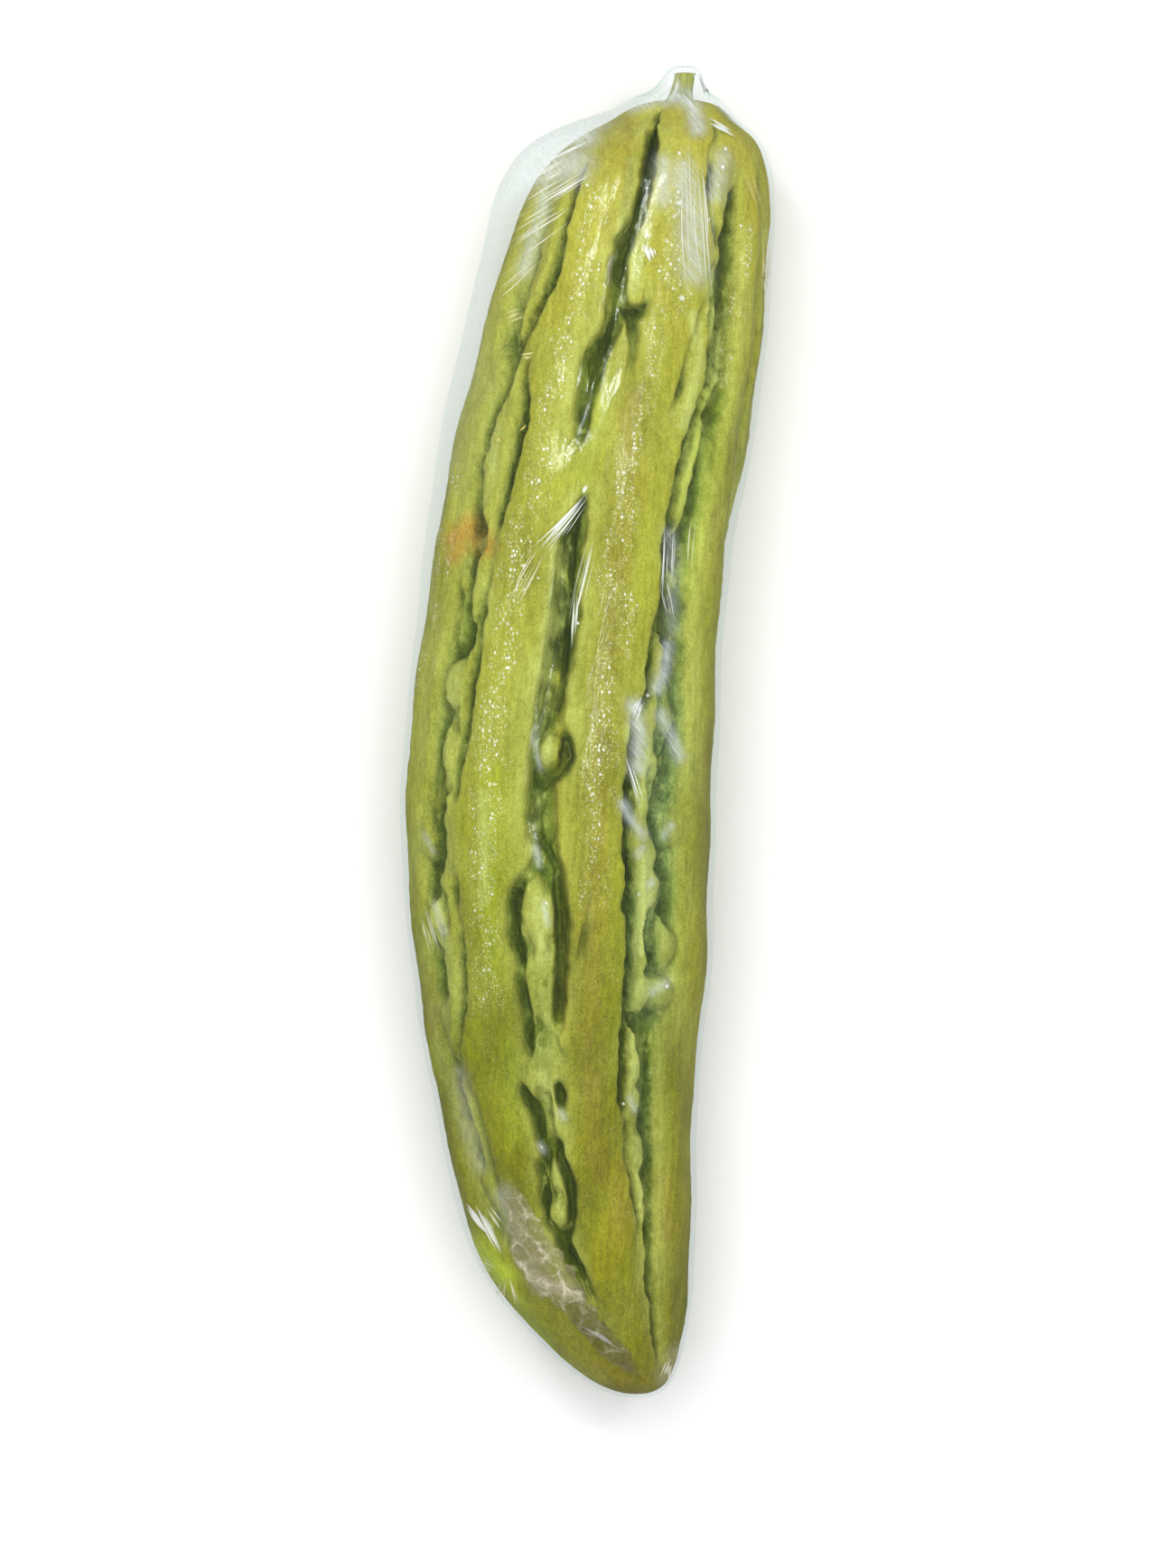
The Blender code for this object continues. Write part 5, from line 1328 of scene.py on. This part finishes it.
# How many, the start and its spread, the end and its spread, width in pixels, and warmth: 0 white, 1
# golden, -1 dark. White and golden creases are painted highlights, and dark ones are painted dark
# reflections along the film's edge by the nub.
CREASES = (
    (13, (582, 178), 16, (662, 142), 12, 1.1, 0.0),
    (14, (574, 222), 22, (652, 178), 18, 1.0, 0.1),
    (12, (556, 275), 22, (632, 228), 16, 1.0, 0.2),
    (9, (546, 330), 16, (604, 280), 14, 0.9, 0.5),
    (5, (560, 352), 8, (584, 344), 8, 1.6, 0.8),
    (3, (575, 395), 7, (594, 392), 7, 1.6, 0.8),
    (3, (574, 478), 3, (584, 468), 3, 1.6, 1.0),
    (2, (548, 492), 3, (556, 486), 3, 1.6, 1.0),
    (12, (652, 548), 4, (598, 616), 12, 1.1, 0.0),
    (6, (650, 534), 3, (644, 546), 3, 1.8, 0.1),
    (6, (600, 602), 8, (562, 672), 10, 0.8, 0.4),
    (8, (660, 590), 6, (634, 700), 6, 1.1, 0.1),
    (5, (638, 655), 3, (634, 718), 3, 1.5, 0.2),
    (8, (742, 578), 8, (738, 662), 9, 1.0, 0.0),
    (6, (736, 640), 8, (746, 692), 7, 1.0, 0.0),
    (4, (770, 560), 6, (764, 640), 6, 0.8, 0.5),
    (5, (712, 772), 6, (700, 800), 8, 1.8, 0.0),
    (4, (690, 830), 5, (712, 900), 10, 0.8, 0.0),
    (7, (716, 268), 4, (724, 290), 5, 2.4, -0.05),
    (6, (782, 132), 3, (815, 151), 3, 1.8, 0.0),
    (6, (740, 110), 6, (752, 76), 6, 1.2, 0.0),
    (5, (768, 74), 4, (784, 112), 5, 1.5, 0.0),
    (2, (776, 78), 1, (788, 114), 2, 1.4, -0.8),
    (2, (786, 112), 2, (824, 146), 2, 1.2, -0.5),
    (5, (824, 170), 8, (848, 250), 6, 1.2, 0.9),
    (5, (846, 250), 5, (842, 340), 6, 1.2, 0.8),
    (10, (765, 140), 12, (775, 330), 16, 0.8, 0.0),
    (4, (512, 1328), 3, (546, 1376), 5, 2.4, 0.1),
    (4, (524, 1330), 4, (556, 1388), 5, 2.6, 0.1),
    (3, (538, 1334), 3, (560, 1366), 4, 1.8, 0.1),
    (12, (562, 1412), 3, (560, 1450), 26, 0.9, 0.5),
    (8, (548, 1404), 5, (530, 1396), 14, 1.0, 0.3),
    (7, (640, 1466), 3, (692, 1498), 4, 1.6, 0.1),
    (8, (744, 1502), 8, (734, 1530), 8, 1.3, 0.4),
    (9, (470, 1000), 10, (486, 1060), 12, 0.9, 0.3),
)
# Painted glints on the film: picture x and y, and size in pixels.
PAINTED_FILM_GLINTS = (
    (752, 225, 5), (784, 243, 4), (755, 330, 6), (752, 170, 4), (757, 181, 3), (803, 165, 4),
    (800, 185, 4), (809, 396, 3), (597, 532, 4), (596, 640, 3), (705, 670, 3), (717, 770, 4),
    (640, 690, 3), (548, 825, 3), (707, 990, 4), (545, 990, 3), (605, 1000, 3), (738, 1092, 4),
    (690, 1222, 3), (600, 1270, 3), (716, 260, 3), (730, 300, 3), (655, 300, 3), (650, 205, 3),
    (820, 250, 3), (795, 205, 3),
)
chance = np.random.default_rng(CREASE_SEED)
wrap_faces = [face.vertices for face in wrap.data.polygons]
wrap_tree = BVHTree.FromPolygons([vertex.co for vertex in wrap.data.vertices], wrap_faces)


def on_film(place, lift):
    """The point so many millimetres off the film that the camera sees at a place in the picture."""
    offset = (place - PICTURE_MIDDLE) * (1, -1) / PIXELS_PER_MM
    aim = Vector((*(MIDDLE_SHOWS + offset), VIEW_PLANE)) * MM
    hit, normal = wrap_tree.ray_cast(eye_place, (aim - eye_place).normalized())[:2]
    if hit is None:
        hit, normal = wrap_tree.find_nearest(aim)[:2]
    return hit + normal * lift * MM


def add_crease(mesh, start, end, width, warmth):
    """Adds a narrow ribbon on the film that tapers at both ends and bows a little."""
    step = end - start
    aside = np.array((step[1], -step[0])) / np.linalg.norm(step)
    bow = chance.normal(0, CREASE_BOW) * np.linalg.norm(step)
    strength = chance.uniform(FAINTEST, 1)
    ribbon = bmesh.ops.create_grid(mesh, x_segments=CREASE_STEPS, y_segments=1, size=1)["verts"]
    for vertex in ribbon:
        share = (vertex.co.x + 1) / 2
        swell = math.sin(math.pi * min(max(share, CREASE_END), 1 - CREASE_END)) ** 0.6
        place = start + share * step + aside * (bow * swell + vertex.co.y * width / 2 * swell)
        vertex.co = on_film(place, CREASE_LIFT)
        vertex[warmth_layer], vertex[shown_layer] = warmth, strength * swell


crease_mesh = bmesh.new()
warmth_layer = crease_mesh.verts.layers.float.new("warmth")
shown_layer = crease_mesh.verts.layers.float.new("shown")
for count, start, start_spread, end, end_spread, width, warmth in CREASES:
    side = np.array((end[1] - start[1], start[0] - end[0])) / math.dist(start, end)
    for _ in range(count):
        offset, slip = chance.uniform(-1, 1), chance.uniform(0, 0.4, 2)
        first = np.array(start) + side * offset * start_spread
        last = np.array(end) + side * (offset + chance.normal(0, 0.1)) * end_spread
        reach = last - first
        first, last = first + slip[0] * reach, last - slip[1] * reach
        add_crease(crease_mesh, first, last, width * chance.uniform(0.6, 1.5), warmth)
# The painted glints go in as short, wide creases.
for x, y, size in PAINTED_FILM_GLINTS:
    middle, half = np.array((x, y)), np.array((0.25, 0.6)) * size
    add_crease(crease_mesh, middle - half, middle + half, size * 0.9, 0)
creases = new_piece("film_creases_and_painted_glints", crease_mesh)

# %% [markdown]
# ## The crumpled fold
# Low on the left, a spare piece of the film is folded over and crumpled, and runs down to the tip.
# It could be simulated as cloth, but its place and outline are known, so a plain grid is laid along a
# line of picture places instead and lifted off the film by a crumpled noise.

# %% Film fold
# Number along the fold, picture x and y, half its width there in pixels.
FOLD = (
    (0, 564, 1316, 7), (1, 573, 1334, 13), (2, 580, 1360, 20), (3, 594, 1390, 25),
    (4, 614, 1414, 24), (5, 636, 1442, 17), (6, 660, 1474, 14), (7, 688, 1503, 12),
    (8, 708, 1524, 5),
)
FOLD_STEPS, FOLD_ACROSS = ((240, 60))
FOLD_LIFT, FOLD_RAGGED = 0.15, 0.35  # millimetres off the film, and a share of its width
KEY_STEP = 0.05  # how far either side of a place the fold's direction is measured
CRUMPLE_SIZE, CRUMPLE_HEIGHT = 16, 0.5  # picture pixels, millimetres
BRIGHT_BAND, BAND_REACH = ((576, 1402), (600, 1419), (640, 1434)), 7
LOWER_FROM = 4.4  # the number along the fold where its brown lower part starts
LAST_KEY = FOLD[-1][0]

fold_mesh = bmesh.new()
crumple_layer = fold_mesh.verts.layers.float.new("crumple")
shown_layer = fold_mesh.verts.layers.float.new("shown")
band_layer = fold_mesh.verts.layers.float.new("band")
lower_layer = fold_mesh.verts.layers.float.new("lower")
bmesh.ops.create_grid(fold_mesh, x_segments=FOLD_STEPS, y_segments=FOLD_ACROSS, size=1)
for vertex in fold_mesh.verts:
    key, side = (vertex.co.x + 1) * LAST_KEY / 2, vertex.co.y
    keys = np.array((key, max(key - KEY_STEP, 0), min(key + KEY_STEP, LAST_KEY)))
    at_key, before, after = smooth(keys, FOLD)
    step = (after - before)[:2]
    aside = np.array((step[1], -step[0])) / np.linalg.norm(step)
    ragged_edge = 1 + FOLD_RAGGED * noise.noise(Vector((key * 3, side, 5)))
    place = at_key[:2] + aside * side * at_key[2] * ragged_edge
    at_noise = Vector((*(place / CRUMPLE_SIZE), 3))
    broad_noise, fine_noise = abs(noise.noise(at_noise)), abs(noise.noise(at_noise * 2.7))
    crumple = max(1 - 2.2 * broad_noise - 0.4 * fine_noise, 0)
    to_edge = (1 - side**2) * min(key / 0.8, (LAST_KEY - key) / 1.5, 1)
    vertex.co = on_film(place, FOLD_LIFT + CRUMPLE_HEIGHT * crumple * min(to_edge * 2, 1))
    vertex[crumple_layer], vertex[shown_layer] = crumple, min(to_edge * 3, 1)
    vertex[band_layer] = float(near_line(place[None], BRIGHT_BAND, BAND_REACH)[0])
    vertex[lower_layer] = min(max(key - LOWER_FROM, 0), 1)
fold = new_piece("film_fold", fold_mesh)

# %% [markdown]
# ## Film finish
# Clear film shows itself only by what it mirrors and by a little milkiness where it wrinkles. So the
# surface is mostly see-through, mixed with a glossy one. The share is the Fresnel share, held low
# because the wrinkles spread what is mirrored, plus the haze and the small highlights painted into
# it. Small ripples in the normals break the lamps' images into streaks.

# %% Film material
MIRROR_MOST = 0.036  # even edge on, a wrinkled film mirrors no more than this
BARE_COVER = 0.003  # even clean film covers this much
CLEAR = (0.965, 0.99, 0.99, 1)  # what the film lets through

film = Finish("cling film")
haze, clinging = film.read("haze"), film.read("clinging")
streaks = film.grain(film.places((0.55, 9, 3), 38), 3.0, 0.6)
ripples = film.grain(film.places((2.2, 9, 2.2), -8), 2.0)
grains = film.grain(film.places((0.7, 0.9, 0.7)), 1.0)
# The haze's milkiness, with the painted highlights in it.
milk_and_highlights = (haze * (0.55 + (streaks - 0.5) * 1.3)).limited() * 0.9
mirrored = (film.node("ShaderNodeFresnel", {}, {"IOR": 1.45}) * 1.2).maths("MINIMUM", MIRROR_MOST)
cover = (mirrored + milk_and_highlights + BARE_COVER).limited()
# Metallic is the mirror's share of the cover. The small numbers keep it from being 0 over 0.
film.set(
    Base_Color=film.mixed(film.read("beige"), srgb(240, 248, 248), srgb(206, 194, 160)),
    Metallic=(mirrored + 0.01) / (mirrored + milk_and_highlights + 0.011),
    Roughness=0.1 + clinging * 0.12 + milk_and_highlights * 0.3,
)
film.bump(0.5, 0.5 * MM, ripples + streaks * 0.25 + grains * clinging * 0.5)
film.see_through(cover)
film.put_on(wrap)

# %% [markdown]
# The creases' brightness is a painted highlight: they are bright whichever way they face, so they get
# a plain pale finish with no mirror in it. The two numbers stored on each say how golden or dark it
# is, and how far it hides what is under it.

# %% Creases' material
crease = Finish("film creases")
warmth = crease.read("warmth")
tint = crease.mixed(warmth.limited(), srgb(250, 253, 252), srgb(226, 206, 112))
# Dark creases are painted dark reflections.
tint = crease.mixed((warmth * -1).limited(), tint, srgb(58, 84, 88))
crease.set(Base_Color=tint, Roughness=0.3)
crease.see_through(crease.read("shown") * 0.85)
crease.put_on(creases)

# %% [markdown]
# The crumpled fold shows a web of pale lines, where the film is bent sharply. Those are the edges
# between the cells of a Voronoi texture, in three sizes. Noise bends the lines a little first, so
# that no edge is quite straight.

# %% Fold's material
WEB_BEND, WEB_TURN, WEB_STRETCH = 0.7, 30, 1.4
WEB_LINE = 0.08  # half the width of a line, as a share of a cell

fold_finish = Finish("film fold")


def web(size):
    """Fine lines that split the fold into ragged facets of about this many millimetres."""
    where = fold_finish.places((size, size * WEB_STRETCH, size), WEB_TURN)
    bends = {"Vector": where, "Scale": 1.3, "Detail": 3.0}
    shift = fold_finish.node("ShaderNodeTexNoise", {}, bends, "Color")
    shift = {"Vector": shift, "Scale": WEB_BEND}
    shift = fold_finish.node("ShaderNodeVectorMath", {"operation": "SCALE"}, shift)
    where = fold_finish.node("ShaderNodeVectorMath", {"operation": "ADD"}, (where, shift))
    cells = {"Vector": where, "Scale": 1.0}
    away = fold_finish.node("ShaderNodeTexVoronoi", {"feature": "DISTANCE_TO_EDGE"}, cells, "Distance")
    return 1 - away.between(0.0, WEB_LINE)


band, lower, crumple = map(fold_finish.read, ("band", "lower", "crumple"))
faint = fold_finish.grain(fold_finish.places((3, 3, 3)), 3.0).between(0.35, 0.65)
lines = web(6.5) * 0.7 + web(3.1) * 0.5 + web(1.5) * 0.35
lines = lines * (1 - lower * 0.6) * (faint * 0.7 + 0.3) + crumple * 0.08
ground = fold_finish.mixed(lower, srgb(160, 150, 112), srgb(88, 76, 52))
tint = fold_finish.mixed((lines + band * 0.35).limited(), ground, srgb(220, 211, 186))
fold_finish.set(Base_Color=tint, Roughness=0.4)
thickness = (0.26 + lower * 0.14 + lines * 0.32 + band * 0.34).limited()
fold_finish.see_through(fold_finish.read("shown") * thickness)
fold_finish.put_on(fold)

# %% [markdown]
# Last, a printed line says what the wrap stands for: one rectangle of film, held stretched over the
# fruit, with the creases and the fold as parts of it.

# %% One sheet of film
print("the film stands for one stretched sheet")

# %% [markdown]
# ## Floor and light
# The gourd lies on a wide pale floor, lit from above by one large soft lamp, with two small ones that
# put glints on the film.

# %% Floor and lamps
FLOOR_REACH = 2.0  # metres each way
FLOOR_COLOUR, ROOM_COLOUR = (0.93, 0.93, 0.93, 1), (0.95, 0.98, 1, 1)

floor_mesh = bmesh.new()
bmesh.ops.create_grid(floor_mesh, x_segments=1, y_segments=1, size=FLOOR_REACH)
floor_data = bpy.data.meshes.new("floor")
floor_mesh.to_mesh(floor_data)
floor_mesh.free()
floor = bpy.data.objects.new("floor", floor_data)
bpy.context.scene.collection.objects.link(floor)
floor.visible_glossy = False  # mirrored in the film, so much white would veil the flanks
paper = Finish("pale floor")
paper.set(Base_Color=FLOOR_COLOUR, Roughness=0.9)
paper.put_on(floor)


def lamp(name, place, size, power, mirrored, aimed_at=(0, 0, 0.03)):
    """A square lamp, in metres and watts. Unless mirrored, it leaves no image on the film."""
    light = bpy.data.lights.new(name, "AREA")
    light.size, light.energy = size, power
    holder = bpy.data.objects.new(name, light)
    holder.location = place
    holder.rotation_euler = (Vector(aimed_at) - Vector(place)).to_track_quat("-Z", "Y").to_euler()
    holder.visible_glossy = mirrored
    bpy.context.scene.collection.objects.link(holder)
    print(f"{name}: {power} W, {size} m wide")


lamp("soft sky", (0.0, 0.1, 1.9), 1.6, 39, False)
lamp("window", (-0.35, 0.5, 0.9), 0.12, 1.4, True)
lamp("glint", (0.3, 0.15, 1.0), 0.08, 0.6, True)
world = bpy.data.worlds.new("room")
world.use_nodes = True
room_light = world.node_tree.nodes["Background"].inputs
room_light["Color"].default_value, room_light["Strength"].default_value = ROOM_COLOUR, 0.3
bpy.context.scene.world = world
bpy.context.scene.view_settings.view_transform = "Standard"
